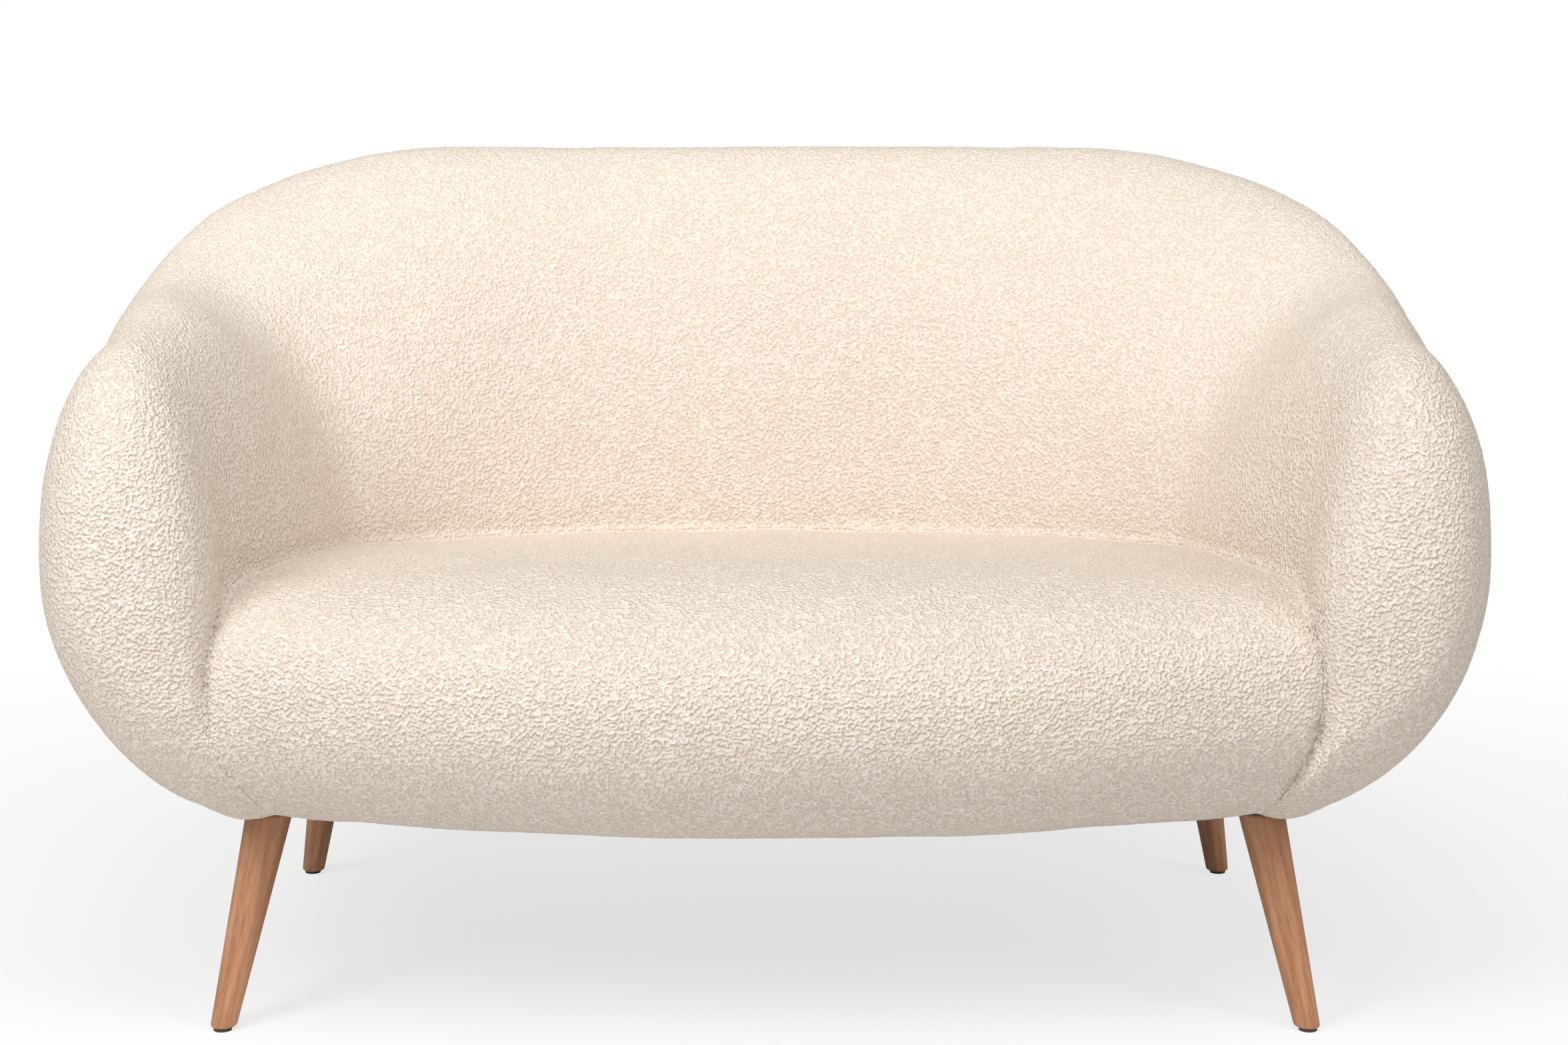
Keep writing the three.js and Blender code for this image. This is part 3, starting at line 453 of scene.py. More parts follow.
def seat_rings(step):
    """Cuts through the seat from side to side: belly, front roll, crown and rear."""
    half = HALF_WIDTH - ARM["thickness"]
    reach = half + SEAT_OVERREACH
    rings = []
    quarter = np.linspace(0, math.pi / 2, QUARTER_POINTS)
    for x in np.linspace(-reach, reach, int(2 * reach / step)):
        share = abs(x) / half
        front = -SEAT_FRONT + SEAT_BOW * share ** SEAT_BOW_SQUARENESS
        drop = SEAT_SIDE_DROP * share ** 2
        rear_y = BACK_REACH - BACK["thickness"] / 2
        crown_y = front + CROWN_SETBACK
        roll = mix(ROLL_ROUNDNESS, ROLL_SIDE_ROUNDNESS, share ** 2)
        depth = mix(BELLY_DEPTH, BELLY_SIDE_DEPTH, share ** 2)
        belly_y = front + depth
        low = BODY_BASE - BELLY_DROP * (1 - share ** 2)
        crown, rear = SEAT_CROWN - drop, SEAT_REAR - drop / 2

        def curve(y, size_y, size_z, exponent, start):
            a = start + quarter
            return np.column_stack([
                y - size_y * signed_power(np.cos(a), 2 / exponent),
                ROLL_HEIGHT + size_z * signed_power(np.sin(a), 2 / exponent),
            ])

        t = np.linspace(0, 1, QUARTER_POINTS)[1:]
        flat = np.vstack([
            [[rear_y, low]],
            curve(belly_y, depth, ROLL_HEIGHT - low, BELLY_ROUNDNESS, -math.pi / 2),
            curve(crown_y, CROWN_SETBACK, crown - ROLL_HEIGHT, roll, 0)[1:],
            np.column_stack([mix(crown_y, rear_y, t),
                             mix(crown, rear, np.sin(math.pi / 2 * t) ** 2)]),
        ])
        flat = resampled(flat, int(SEAT_GIRTH / step))
        rings.append(np.column_stack([np.full(len(flat), x), flat[:, 0] - MIDDLE_Y,
                                      flat[:, 1]]))
    return rings


def box_piece(name, low, high):
    bm = bmesh.new()
    bmesh.ops.create_cube(bm, size=1)
    for v in bm.verts:
        v.co = Vector([mix(low[k], high[k], v.co[k] + 0.5) for k in range(3)])
    mesh = bpy.data.meshes.new(name)
    bm.to_mesh(mesh)
    bm.free()
    piece = bpy.data.objects.new(name, mesh)
    scene.collection.objects.link(piece)
    return piece


def cut(piece, tool, operation="DIFFERENCE"):
    return applied(piece, "BOOLEAN", object=tool, operation=operation, solver="MANIFOLD")


def remeshed(piece):
    return applied(piece, "REMESH", mode="VOXEL", voxel_size=CLOTH_GRID, use_smooth_shade=True)


def smooth_shaded(mesh):
    for polygon in mesh.polygons:
        polygon.use_smooth = True


def surface_tree(piece):
    faces = [tuple(p.vertices) for p in piece.data.polygons]
    return BVHTree.FromPolygons(coords(piece.data).tolist(), faces)


def cell_random(cells, seed):
    """Random number for each cell of a lattice, the same on every run.

    The large numbers are those of a common integer hash.
    """
    n = (cells[..., 0] * 73856093) ^ (cells[..., 1] * 19349663) ^ (cells[..., 2] * 83492791)
    n = (n + seed * 2654435761) & 0xFFFFFFFF
    for shift, factor in ((16, 0x45D9F3B), (15, 0x45D9F3B)):
        n = ((n >> shift) ^ n) * factor & 0xFFFFFFFF
    return ((n >> 16) ^ n) / 0xFFFFFFFF


def value_noise(points, size, seed):
    """Smooth noise from -1 to 1 with features of the given size."""
    scaled = points / size
    base = np.floor(scaled).astype(np.int64)
    t = scaled - base
    t = t * t * t * (t * (t * 6 - 15) + 10)
    total = np.zeros(len(points))
    for corner in np.ndindex(2, 2, 2):
        weight = np.prod(np.where(corner, t, 1 - t), axis=1)
        total += weight * cell_random(base + corner, seed)
    return total * 2 - 1


FAR_SQUARED, BUMP_SQUARED = 9.0, 0.7


def bumps(points, size, seed):
    """Rounded bumps, one to a cell, from 0 in the creases to 1 on top."""
    scaled = points / size
    base = np.floor(scaled).astype(np.int64)
    nearest = np.full(len(points), FAR_SQUARED)
    for step in np.ndindex(3, 3, 3):
        cells = base + np.array(step) - 1
        spot = cells + np.column_stack([cell_random(cells, seed + k) for k in range(3)])
        nearest = np.minimum(nearest, ((scaled - spot) ** 2).sum(1))
    return 1 - np.clip(nearest / BUMP_SQUARED, 0, 1)


# Where arm and seat meet. In front of FRONT they run into each other below the ends of the two
# seams, and behind it they meet in a pocket. Pairs say where a share starts and where it is full.
JUNCTION_LOW = np.array([-0.66, -0.44, 0.15])
JUNCTION_HIGH = np.array([0.66, 0.36, 0.52])
FRONT = (-0.165, -0.245)
NEAR_JUNCTION, JUNCTION_CORE = 0.075, 0.35
SEAM_ENDS = {-1: (0.350, 0.285), 1: (0.262, 0.222)}
SEAM_TOP = (0.415, 0.440)
CREASE = (0.007, 0.016)
UNDERSIDE_Z, UNDERSIDE_Y = (0.212, 0.236), (-0.300, -0.250)
JUNCTION_ROUNDS, CREASE_ROUNDS, LAST_ROUNDS, LAST_STRENGTH = 160, 10, 3, 0.7

# Grooves in the cloth: how wide and how deep, and the painted shade that darkens the pockets next
# to the seams
SEAM_WIDTH, SEAM_DEPTH = 0.0065, 0.0060
POCKET_WIDTH, POCKET_DEPTH, POCKET_SHADE = 0.009, 0.003, 0.25
COVER_SEAM_WIDTH, COVER_SEAM_DEPTH, COVER_SEAM_REACH = 0.005, 0.0035, 0.02

# Points that move less than this share don't move, and a full share moves a point half-way
STILL, RELAX_STEP = 0.001, 0.5


def in_box(points, low, high):
    """Numbers and places of the points in a box."""
    inside = np.where(((points > low) & (points < high)).all(1))[0]
    return zip(inside.tolist(), points[inside].tolist())


def junction_distance(tree, points):
    """Distance to a closed surface for the points around the seat, and the limit elsewhere."""
    distance = np.full(len(points), NEAR_JUNCTION)
    for k, point in in_box(points, JUNCTION_LOW, JUNCTION_HIGH):
        spot, _, _, gap = tree.find_nearest(point, NEAR_JUNCTION)
        if spot is not None:
            distance[k] = gap
    return distance


def relaxed(mesh, points, strength, rounds):
    """Each point moves towards the middle of its neighbours, by a strength from 0 to 1."""
    edges = np.empty(len(mesh.edges) * 2, np.int32)
    mesh.edges.foreach_get("vertices", edges)
    edges = edges.reshape(-1, 2)
    moving = np.where(strength > STILL)[0]
    used = np.isin(edges, moving).any(1)
    a, b = edges[used].T
    heads, tails = np.concatenate([a, b]), np.concatenate([b, a])
    keep = np.isin(heads, moving)
    heads, tails = heads[keep], tails[keep]
    slot_of = np.full(len(points), -1)
    slot_of[moving] = np.arange(len(moving))
    heads = slot_of[heads]
    count = np.maximum(np.bincount(heads, minlength=len(moving)), 1)
    points = points.copy()
    for _ in range(rounds):
        for k in range(3):
            middle = np.bincount(heads, weights=points[tails, k], minlength=len(moving)) / count
            now = points[moving, k]
            points[moving, k] = now + (middle - now) * strength[moving] * RELAX_STEP
    return points


def cover_seam():
    """The line where the outer cover ends: up each arm's side and along under the crest."""
    def seam_point(along):
        flat, marks = section_points(section_at(along))
        return stood(flat[[seam_mark(marks) - 1]], along)

    rows = [seam_point(s) for s in np.linspace(-NOSE_START, NOSE_START, SEAM_ALONG_POINTS)]
    for along in (-NOSE_START, NOSE_START):
        flat, marks = section_points(section_at(along))
        side = resampled(flat[marks[0] - 1:seam_mark(marks)], SEAM_SIDE_POINTS, closed=False)
        rows.append(stood(side, along))
    return np.vstack(rows)


def distance_to_line(points, line, reach):
    """Distance from each point to the nearest point of the line, up to the given reach."""
    tree = KDTree(len(line))
    for k, point in enumerate(line.tolist()):
        tree.insert(point, k)
    tree.balance()
    distance = np.full(len(points), reach)
    for k, point in in_box(points, line.min(0) - reach, line.max(0) + reach):
        distance[k] = min(tree.find(point)[2], reach)
    return distance


def groove(distance, width):
    return np.exp(-(distance / width) ** 2)


def fused(piece, shell_tree, seat_tree):
    """Softens the junction of arm and seat, sinks the front seams into it, and stores a painted
    shade for the seams and the pockets.
    """
    mesh = piece.data
    points = coords(mesh)
    reach = np.maximum(junction_distance(shell_tree, points),
                       junction_distance(seat_tree, points))
    x, y, z = points.T
    front = smoothstep(*FRONT, y)
    side = np.where(x < 0, -1, 1)
    openness = np.zeros(len(points))
    for sign, ends in SEAM_ENDS.items():
        here = side == sign
        openness[here] = smoothstep(*ends, z[here])
    near = 1 - smoothstep(NEAR_JUNCTION * JUNCTION_CORE, NEAR_JUNCTION, reach)
    crease = 1 - smoothstep(*CREASE, reach)
    underside = (1 - smoothstep(*UNDERSIDE_Z, z)) * smoothstep(*UNDERSIDE_Y, y)
    strength = front * openness * near * (1 - underside)
    points = relaxed(mesh, points, strength, JUNCTION_ROUNDS)
    points = relaxed(mesh, points, crease, CREASE_ROUNDS)
    set_coords(mesh, points)
    out = normals(mesh)
    seam_and_painted_shade = groove(reach, SEAM_WIDTH) * front * (1 - openness)
    seam_and_painted_shade *= 1 - smoothstep(*SEAM_TOP, z)
    pocket = groove(reach, POCKET_WIDTH) * (1 - front)
    points -= out * (SEAM_DEPTH * seam_and_painted_shade + POCKET_DEPTH * pocket)[:, None]
    points = relaxed(mesh, points, crease * LAST_STRENGTH, LAST_ROUNDS)
    from_seam = distance_to_line(points, cover_seam(), COVER_SEAM_REACH)
    set_coords(mesh, points - out * (COVER_SEAM_DEPTH
                                     * groove(from_seam, COVER_SEAM_WIDTH))[:, None])
    # Painted shade: the seams and the pockets beside them are darkened in the cloth's colour, where
    # shade falls
    painted_shade = mesh.attributes.new("seam_and_painted_shade", "FLOAT", "POINT")
    painted_shade.data.foreach_set(
        "value", np.clip(seam_and_painted_shade + pocket * POCKET_SHADE, 0, 1).astype(np.float32))


def split_tool(source, seat_tree):
    """The shell grown towards the bisector between it and the seat, to part the two."""
    piece = bpy.data.objects.new("split_tool", source.data.copy())
    scene.collection.objects.link(piece)
    points, out = coords(piece.data), normals(piece.data)
    grow = np.zeros(len(points))
    for k, point in enumerate(points.tolist()):
        spot, normal, _, gap = seat_tree.find_nearest(point, OVERRUN)
        if spot is None:
            grow[k] = OVERRUN
        elif (Vector(point) - spot).dot(normal) > 0:
            grow[k] = gap
    set_coords(piece.data, points + out * grow[:, None])
    return piece


# The cloth's unevenness: size and height of its swells, dimples and nubs, and how far the nubs'
# lattice is warped. The seeds start their random numbers.
SWELL_SIZE, SWELL_HEIGHT, SWELL_SEED = 0.110, 0.0016, 1
DIMPLE_SIZE, DIMPLE_HEIGHT, DIMPLE_SEED = 0.045, 0.0008, 2
NUB_SIZE, NUB_HEIGHT, NUB_MEAN, NUB_SEED = 0.0085, 0.0006, 0.55, 5
WARP_SIZE, WARP_REACH, WARP_SEED = 0.012, 0.0025, 40

# The lip beside the front legs' tops, which hangs a little lower, and more so towards the side
LIP_Z, LIP_X, LIP_REAR_Y, LIP_FRONT_Y = (0.210, 0.228), (0.39, 0.43), (-0.26, -0.20), (-0.32, -0.28)
LIP_INNER_DROP, LIP_OUTER_DROP, LIP_OUTER_X = 0.0015, 0.0045, (0.485, 0.525)


def textured(piece):
    """Adds the soft unevenness of stuffed cloth and the nubs of the boucle."""
    mesh = piece.data
    points = coords(mesh)
    out = normals(mesh)
    warp = np.column_stack([value_noise(points, WARP_SIZE, WARP_SEED + k) for k in range(3)])
    height = SWELL_HEIGHT * value_noise(points, SWELL_SIZE, SWELL_SEED)
    height += DIMPLE_HEIGHT * value_noise(points, DIMPLE_SIZE, DIMPLE_SEED)
    height += NUB_HEIGHT * (bumps(points + warp * WARP_REACH, NUB_SIZE, NUB_SEED) - NUB_MEAN)
    points += out * height[:, None]
    x, y, z = points.T
    x = np.abs(x)
    lip = (1 - smoothstep(*LIP_Z, z)) * smoothstep(*LIP_X, x)
    lip *= (1 - smoothstep(*LIP_REAR_Y, y)) * smoothstep(*LIP_FRONT_Y, y)
    points[:, 2] -= mix(LIP_INNER_DROP, LIP_OUTER_DROP, smoothstep(*LIP_OUTER_X, x)) * lip
    set_coords(mesh, points)
    smooth_shaded(mesh)


class Graph:
    """Short names for the nodes of one material or world."""

    def __init__(self, tree):
        self.tree = tree

    def feed(self, target, value):
        if isinstance(value, bpy.types.NodeSocket):
            self.tree.links.new(value, target)
        else:
            target.default_value = value

    def fill(self, node, **inputs):
        """Feeds sockets by name, with _ for a space; other names are the node's settings."""
        for key, value in inputs.items():
            name = key.replace("_", " ")
            if name in node.inputs:
                self.feed(node.inputs[name], value)
            else:
                setattr(node, key, value)
        return node

    def node(self, kind, **inputs):
        return self.fill(self.tree.nodes.new(kind), **inputs)

    def maths(self, operation, *values):
        node = self.node("ShaderNodeMath", operation=operation)
        for target, value in zip(node.inputs, values):
            self.feed(target, value)
        return node.outputs[0]

    def eased(self, value, start, full, from_value=0.0, to_value=1.0):
        node = self.node("ShaderNodeMapRange", interpolation_type="SMOOTHSTEP", Value=value,
                         From_Min=start, From_Max=full, To_Min=from_value, To_Max=to_value)
        return node.outputs["Result"]

    def ramp(self, factor, stops):
        node = self.node("ShaderNodeValToRGB")
        elements = node.color_ramp.elements
        while len(elements) < len(stops):
            elements.new(0.5)
        for element, (place, colour) in zip(elements, stops):
            element.position, element.color = place, (*colour, 1)
        self.feed(node.inputs[0], factor)
        return node.outputs[0]

    def place(self):
        return self.node("ShaderNodeTexCoord").outputs["Object"]

    def noise(self, place, scale, detail, **settings):
        return self.node("ShaderNodeTexNoise", Vector=place, Scale=scale, Detail=detail,
                         **settings).outputs["Fac"]

    def surface(self, **inputs):
        return self.fill(self.tree.nodes["Principled BSDF"], **inputs)

    def bumped(self, height, strength, distance):
        bump = self.node("ShaderNodeBump", Height=height, Strength=strength, Distance=distance)
        self.surface(Normal=bump.outputs[0])


def new_material(name):
    material = bpy.data.materials.new(name)
    material.use_nodes = True
    return material, Graph(material.node_tree)


def linear(red, green, blue):
    """Scene colour of an sRGB colour given in 0 to 255."""
    return tuple((c / 12.92 if c <= 0.04045 else ((c + 0.055) / 1.055) ** 2.4)
                 for c in (red / 255, green / 255, blue / 255))


# Boucle: colours from its creases to its tops, darker in the creases as painted shade, and the
# painted shade in the seams
CREAM_PAINTED_CREASE_SHADE = linear(219, 203, 185)
CREAM_MIDDLE = linear(226, 214, 200)
CREAM_TOP = linear(231, 221, 209)
# Painted shade in the seams and pockets: its colour, how narrow it is and how strong it is
SEAM_SHADE, SEAM_SHARPNESS, SEAM_STRENGTH = linear(120, 96, 74), 3.0, 0.5

# Scale and contrast of its nubs, which are flatter towards the back
NUB_SCALE, NUB_LOW, NUB_HIGH = 310.0, 0.12, 0.88
FLATTER_FROM, FLATTER_TO, FLATTER_SHARE = -0.30, 0.10, 0.5

# Numbers of the colour sockets of a Mix node
MIX_FACTOR, MIX_A, MIX_B, MIX_RESULT = 0, 6, 7, 2


def boucle_material():
    material, g = new_material("boucle")
    place = g.place()
    loops = g.noise(place, NUB_SCALE, 0.5, Roughness=0.4, Distortion=0.25)
    height = g.eased(loops, NUB_LOW, NUB_HIGH)
    depth = g.node("ShaderNodeSeparateXYZ", Vector=place).outputs["Y"]
    flatter = g.eased(depth, FLATTER_FROM, FLATTER_TO, 1.0, FLATTER_SHARE)
    g.bumped(g.maths("MULTIPLY", height, flatter), strength=0.85, distance=0.0034)
    # Painted shade: darker colour in the creases between the nubs, lighter on their tops
    colour = g.ramp(height, [(0.25, CREAM_PAINTED_CREASE_SHADE), (0.5, CREAM_MIDDLE), (0.75, CREAM_TOP)])
    # Painted shade: the colour darkened towards a brown in the seams and pockets
    seam_and_painted_shade = g.node("ShaderNodeAttribute", attribute_name="seam_and_painted_shade").outputs["Fac"]
    shaded = g.node("ShaderNodeMix", data_type="RGBA")
    g.feed(shaded.inputs[MIX_FACTOR],
           g.maths("MULTIPLY", g.maths("POWER", seam_and_painted_shade, SEAM_SHARPNESS), SEAM_STRENGTH))
    g.feed(shaded.inputs[MIX_A], colour)
    g.feed(shaded.inputs[MIX_B], (*SEAM_SHADE, 1))
    g.surface(Base_Color=shaded.outputs[MIX_RESULT], Roughness=0.95, Specular_IOR_Level=0.05)
    return material


def wood_material(name, light, dark, along=(1, 1, 0.06), roughness=0.5, scale=120.0,
                  attribute=None):
    """Grain that is stretched along one axis, in the object's frame or a stored one."""
    material, g = new_material(name)
    if attribute:
        place = g.node("ShaderNodeAttribute", attribute_name=attribute).outputs["Vector"]
    else:
        place = g.place()
    mapped = g.node("ShaderNodeMapping", Vector=place, Scale=along).outputs[0]
    rings = g.noise(mapped, scale, 5.0, Roughness=0.62)
    pores = g.noise(mapped, scale * 7, 2.0)
    grain = g.maths("MULTIPLY_ADD", pores, 0.35, g.maths("MULTIPLY", rings, 0.75))
    g.bumped(grain, strength=0.25, distance=0.0006)
    g.surface(Base_Color=g.ramp(grain, [(0.36, dark), (0.68, light)]), Roughness=roughness)
    return material


def woven_material(name, light, dark, pitch, roughness=0.9):
    material, g = new_material(name)
    place = g.place()
    waves = [g.node("ShaderNodeTexWave", Vector=place, Scale=0.314 / pitch,
                    bands_direction=direction).outputs["Fac"] for direction in ("X", "Y")]
    weave = g.maths("MULTIPLY", *waves)
    speck = g.noise(place, 900.0, 2.0)
    value = g.maths("MULTIPLY_ADD", speck, 0.5, g.maths("MULTIPLY", weave, 0.5))
    g.bumped(value, strength=0.4, distance=0.0004)
    g.surface(Base_Color=g.ramp(value, [(0.2, dark), (0.8, light)]), Roughness=roughness)
    return material


def foam_material(name, light, dark):
    material, g = new_material(name)
    cells = g.node("ShaderNodeTexVoronoi", Vector=g.place(), Scale=700.0).outputs["Distance"]
    g.bumped(cells, strength=0.4, distance=0.0006)
    g.surface(Base_Color=g.ramp(cells, [(0.1, dark), (0.6, light)]), Roughness=0.95)
    return material


def plain_material(name, colour, roughness, metallic=0.0):
    material, g = new_material(name)
    speck = g.noise(g.place(), 300.0, 3.0)
    darker = tuple(c * 0.75 for c in colour)
    g.bumped(speck, strength=0.15, distance=0.0003)
    g.surface(Base_Color=g.ramp(speck, [(0.3, darker), (0.7, colour)]), Roughness=roughness,
              Metallic=metallic)
    return material


materials = {
    "boucle": boucle_material(),
    "foam": foam_material("foam", linear(243, 233, 198), linear(214, 196, 140)),
    "plywood": wood_material("plywood", linear(222, 192, 148), linear(178, 140, 98),
                             (1, 1, 6), 0.7, 40.0),
    "hardwood": wood_material("hardwood", linear(208, 164, 112), linear(160, 114, 70),
                              (0.1, 1, 1), 0.6, 90.0),
    "leg_wood": wood_material("leg_wood", linear(196, 142, 104), linear(150, 98, 64),
                              attribute="grain_place"),
    "webbing": woven_material("webbing", linear(168, 158, 142), linear(96, 88, 78), 0.003),
    "cambric": woven_material("cambric", linear(52, 52, 56), linear(20, 20, 23), 0.0012),
    "steel": plain_material("steel", linear(168, 170, 174), 0.35, 1.0),
    "glide": plain_material("glide", linear(66, 62, 58), 0.6),
}
slots_of = {part["node"]: part.get("material_slot") for part in frame["record"]["subparts"]}


# The upholstery: shell and seat made as one soft body, then parted into its three covers. The
# tool for the room under the seat reaches this far to the sides and back, and starts this low.
TOOL_REACH, TOOL_FOOT = 1, 0.1
shell_seed = ring_mesh("shell_seed", shell_rings(BASE_GRID))
seat_seed = ring_mesh("seat_seed", seat_rings(BASE_GRID))
outside = ring_mesh("outside", outside_rings(BASE_GRID))
under_frame = box_piece("under_frame",
                        (-TOOL_REACH, -BOARD_FRONT - MIDDLE_Y - CLEAR, TOOL_FOOT),
                        (TOOL_REACH, TOOL_REACH, WEBBING_TOP + CLEAR))
cut(seat_seed, outside)
shell_tree, seat_tree = surface_tree(shell_seed), surface_tree(seat_seed)
parting = split_tool(shell_seed, seat_tree)
cut(seat_seed, under_frame)
body = cut(seat_seed, shell_seed, "UNION")
remeshed(body)
fused(body, shell_tree, seat_tree)
textured(body)

panel = ring_mesh("panel", panel_rings(BASE_GRID))
core = ring_mesh("core", core_rings(BASE_GRID))
recess = ring_mesh("recess", recess_rings(BASE_GRID))
apron_side = HALF_WIDTH - ARM_CORE_TOE
apron_room = box_piece("apron_room", (-apron_side, -BOARD_FRONT - MIDDLE_Y, BODY_BASE),
                       (apron_side, BACK_REACH - BACK_CORE_TOE - MIDDLE_Y, WEBBING_TOP))
for room in (core, recess, apron_room):
    cut(body, room)


def parted(name, *cuts):
    piece = bpy.data.objects.new(name, body.data.copy())
    scene.collection.objects.link(piece)
    for tool, operation in cuts:
        cut(piece, tool, operation)
    smooth_shaded(piece.data)
    piece.data.materials.clear()
    piece.data.materials.append(materials["boucle"])
    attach(piece, "root")
    return piece


seat = parted("seat_upholstery", (parting, "DIFFERENCE"))
inner = parted("shell_inner_upholstery", (parting, "INTERSECT"), (panel, "DIFFERENCE"))
outer = parted("shell_outer_upholstery", (panel, "INTERSECT"))
removed(outside, under_frame, panel, core, recess, apron_room, parting, shell_seed, body)
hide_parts("seat_cover", "seat_foam", "front_roll_foam")
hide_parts("inner_cover", "back_foam", "corner_foam_left", "corner_foam_right",
            "arm_foam_left", "arm_foam_right")
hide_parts("outer_cover")

# Legs: turned, tapered, each leaning out to its foot by so much per unit of height
LEG_TOP, GLIDE_TOP = 0.2097, 0.0033
FOOT_RADIUS, TOP_RADIUS, FOOT_ROUNDING = 0.0125, 0.023, 0.003
SPLAY, RAKE = 0.2, 0.3
FOOT_X, FOOT_Y = 0.535, 0.275
ROUNDING_STEPS, LEG_STEPS, LEG_FACETS = 6, 30, 48


def leg_heights():
    rounding_top = GLIDE_TOP + FOOT_ROUNDING
    rounding = [GLIDE_TOP + FOOT_ROUNDING * (1 - math.cos(t * math.pi / 2))
                for t in np.linspace(0, 1, ROUNDING_STEPS)]
    return rounding + np.linspace(rounding_top, LEG_TOP, LEG_STEPS)[1:].tolist()


def leg_rings(foot, lean):
    """Level cuts through a leaning cone that is rounded at its foot."""
    stretch = Vector((lean.x, lean.y, 0))
    tilt = stretch.length
    major = stretch / tilt
    minor = Vector((-major.y, major.x, 0))
    rings = []
    for z in leg_heights():
        radius = mix(FOOT_RADIUS, TOP_RADIUS, (z - GLIDE_TOP) / (LEG_TOP - GLIDE_TOP))
        fall = min(max((GLIDE_TOP + FOOT_ROUNDING - z) / FOOT_ROUNDING, 0), 1)
        radius -= FOOT_ROUNDING * (1 - math.sqrt(1 - fall * fall))
        middle = foot + lean * z
        ring = [middle + major * (math.cos(a) * radius * math.hypot(1, tilt))
                + minor * (math.sin(a) * radius)
                for a in np.linspace(0, 2 * math.pi, LEG_FACETS, endpoint=False)]
        rings.append(np.array(ring))
    return rings


def store_grain(mesh, foot, lean):
    """Stores each point's place in the leg's own upright frame, for the wood's grain."""
    turn = Vector((0, 0, 1)).rotation_difference(lean.normalized()).to_matrix().to_4x4()
    upright = (Matrix.Translation(foot) @ turn).inverted()
    local = np.array([upright @ v.co for v in mesh.vertices])
    grain = mesh.attributes.new("grain_place", "FLOAT_VECTOR", "POINT")
    grain.data.foreach_set("vector", local.astype(np.float32).ravel())


for side_name, side in (("left", -1), ("right", 1)):
    for end_name, end in (("front", -1), ("rear", 1)):
        foot = Vector((side * FOOT_X, end * FOOT_Y, 0))
        lean = Vector((-side * SPLAY, -end * RAKE, 1))
        leg = ring_mesh(f"leg_{end_name}_{side_name}_turned", leg_rings(foot, lean))
        store_grain(leg.data, foot, lean)
        for polygon in leg.data.polygons:
            polygon.use_smooth = len(polygon.vertices) == 4
        leg.data.materials.append(materials["leg_wood"])
        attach(leg, "root")
        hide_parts(f"leg_{end_name}_{side_name}")

# Frame, webbing and hardware keep their shapes
for name, node in frame["nodes"].items():
    node.data.materials.clear()
    node.data.materials.append(materials.get(slots_of.get(name), materials["hardwood"]))

# Floor: pale, with a glow for the camera that grows with the distance until it is plain white
FLOOR_HALF = 30
FLOOR_GLOW, FLOOR_NEAR, FLOOR_FAR = 0.72, 0.55, 2.0


def floor_finish():
    material, g = new_material("floor")
    away = g.node("ShaderNodeVectorMath", operation="LENGTH")
    g.feed(away.inputs[0], g.place())
    fade = g.eased(away.outputs["Value"], FLOOR_NEAR, FLOOR_FAR)
    share = g.maths("MULTIPLY_ADD", fade, 1 - FLOOR_GLOW, FLOOR_GLOW)
    seen = g.node("ShaderNodeLightPath").outputs["Is Camera Ray"]
    blend = g.node("ShaderNodeMixShader")
    matt = g.surface(Base_Color=(0.86, 0.86, 0.87, 1), Roughness=0.9, Specular_IOR_Level=0.1)
    glow = g.node("ShaderNodeEmission")
    parts = (g.maths("MULTIPLY", share, seen), matt.outputs[0], glow.outputs[0])
    for target, value in zip(blend.inputs, parts):
        g.feed(target, value)
    g.feed(g.tree.nodes["Material Output"].inputs["Surface"], blend.outputs[0])
    return material


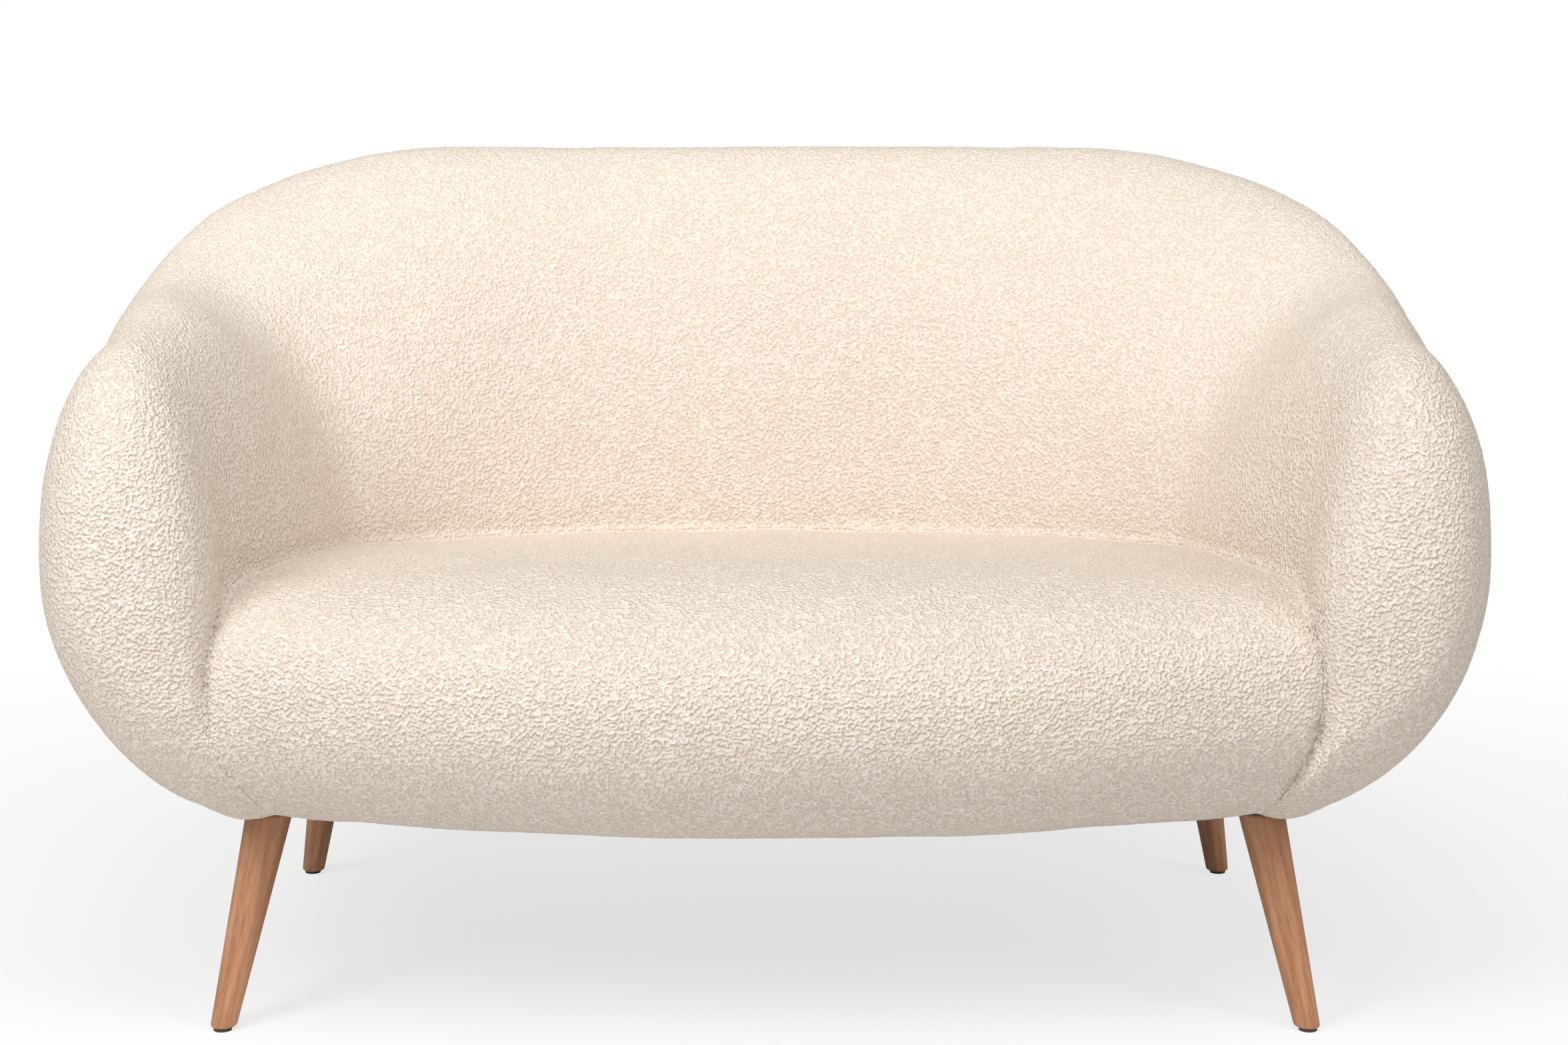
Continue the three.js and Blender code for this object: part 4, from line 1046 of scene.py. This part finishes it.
floor_mesh = bpy.data.meshes.new("floor")
floor_mesh.from_pydata([(x * FLOOR_HALF, y * FLOOR_HALF, 0)
                        for x, y in ((-1, -1), (1, -1), (1, 1), (-1, 1))], [], [(0, 1, 2, 3)])
floor_mesh.materials.append(floor_finish())
floor = bpy.data.objects.new("floor", floor_mesh)
scene.collection.objects.link(floor)

# White surroundings to look at, and a softer light from them
AMBIENT = 0.30
world = bpy.data.worlds.new("studio")
world.use_nodes = True
world_graph = Graph(world.node_tree)
seen = world_graph.node("ShaderNodeLightPath").outputs["Is Camera Ray"]
world_graph.fill(world.node_tree.nodes["Background"], Color=(1, 1, 1, 1),
                 Strength=world_graph.maths("MULTIPLY_ADD", seen, 1 - AMBIENT, AMBIENT))
scene.world = world

# Three soft lamps, all of one size and aimed at one point
LAMP_SIZE, LAMP_TARGET = 1.6, Vector((0, 0, 0.4))


def soft_light(name, place, power):
    data = bpy.data.lights.new(name, "AREA")
    data.shape, data.size, data.energy = "DISK", LAMP_SIZE, power
    lamp = bpy.data.objects.new(name, data)
    lamp.location = place
    aim = LAMP_TARGET - Vector(place)
    lamp.rotation_euler = aim.to_track_quat("-Z", "Y").to_euler()
    scene.collection.objects.link(lamp)


soft_light("key", (-2.0, -2.2, 2.6), power=74)
soft_light("fill", (2.4, -2.0, 2.4), power=30)
soft_light("top", (0, -1.5, 3.3), power=44)

# Camera: solved from the photo's feet and floor; its focal length and middle are in pixels
CAMERA_DISTANCE, CAMERA_HEIGHT, CAMERA_PITCH = 2.881, 0.922, 9.06
PHOTO_WIDTH, FOCAL_PIXELS, CENTRE_COLUMN, SENSOR_WIDTH = 2352, 4135, 1148, 36
camera_data = bpy.data.cameras.new("camera")
camera_data.sensor_width = SENSOR_WIDTH
camera_data.lens = FOCAL_PIXELS / PHOTO_WIDTH * SENSOR_WIDTH
camera_data.shift_x = (PHOTO_WIDTH / 2 - CENTRE_COLUMN) / PHOTO_WIDTH
camera = bpy.data.objects.new("camera", camera_data)
camera.location = (0, -CAMERA_DISTANCE, CAMERA_HEIGHT)
camera.rotation_euler = (math.radians(90 - CAMERA_PITCH), 0, 0)
scene.collection.objects.link(camera)
scene.camera = camera
scene.view_settings.view_transform = "Standard"
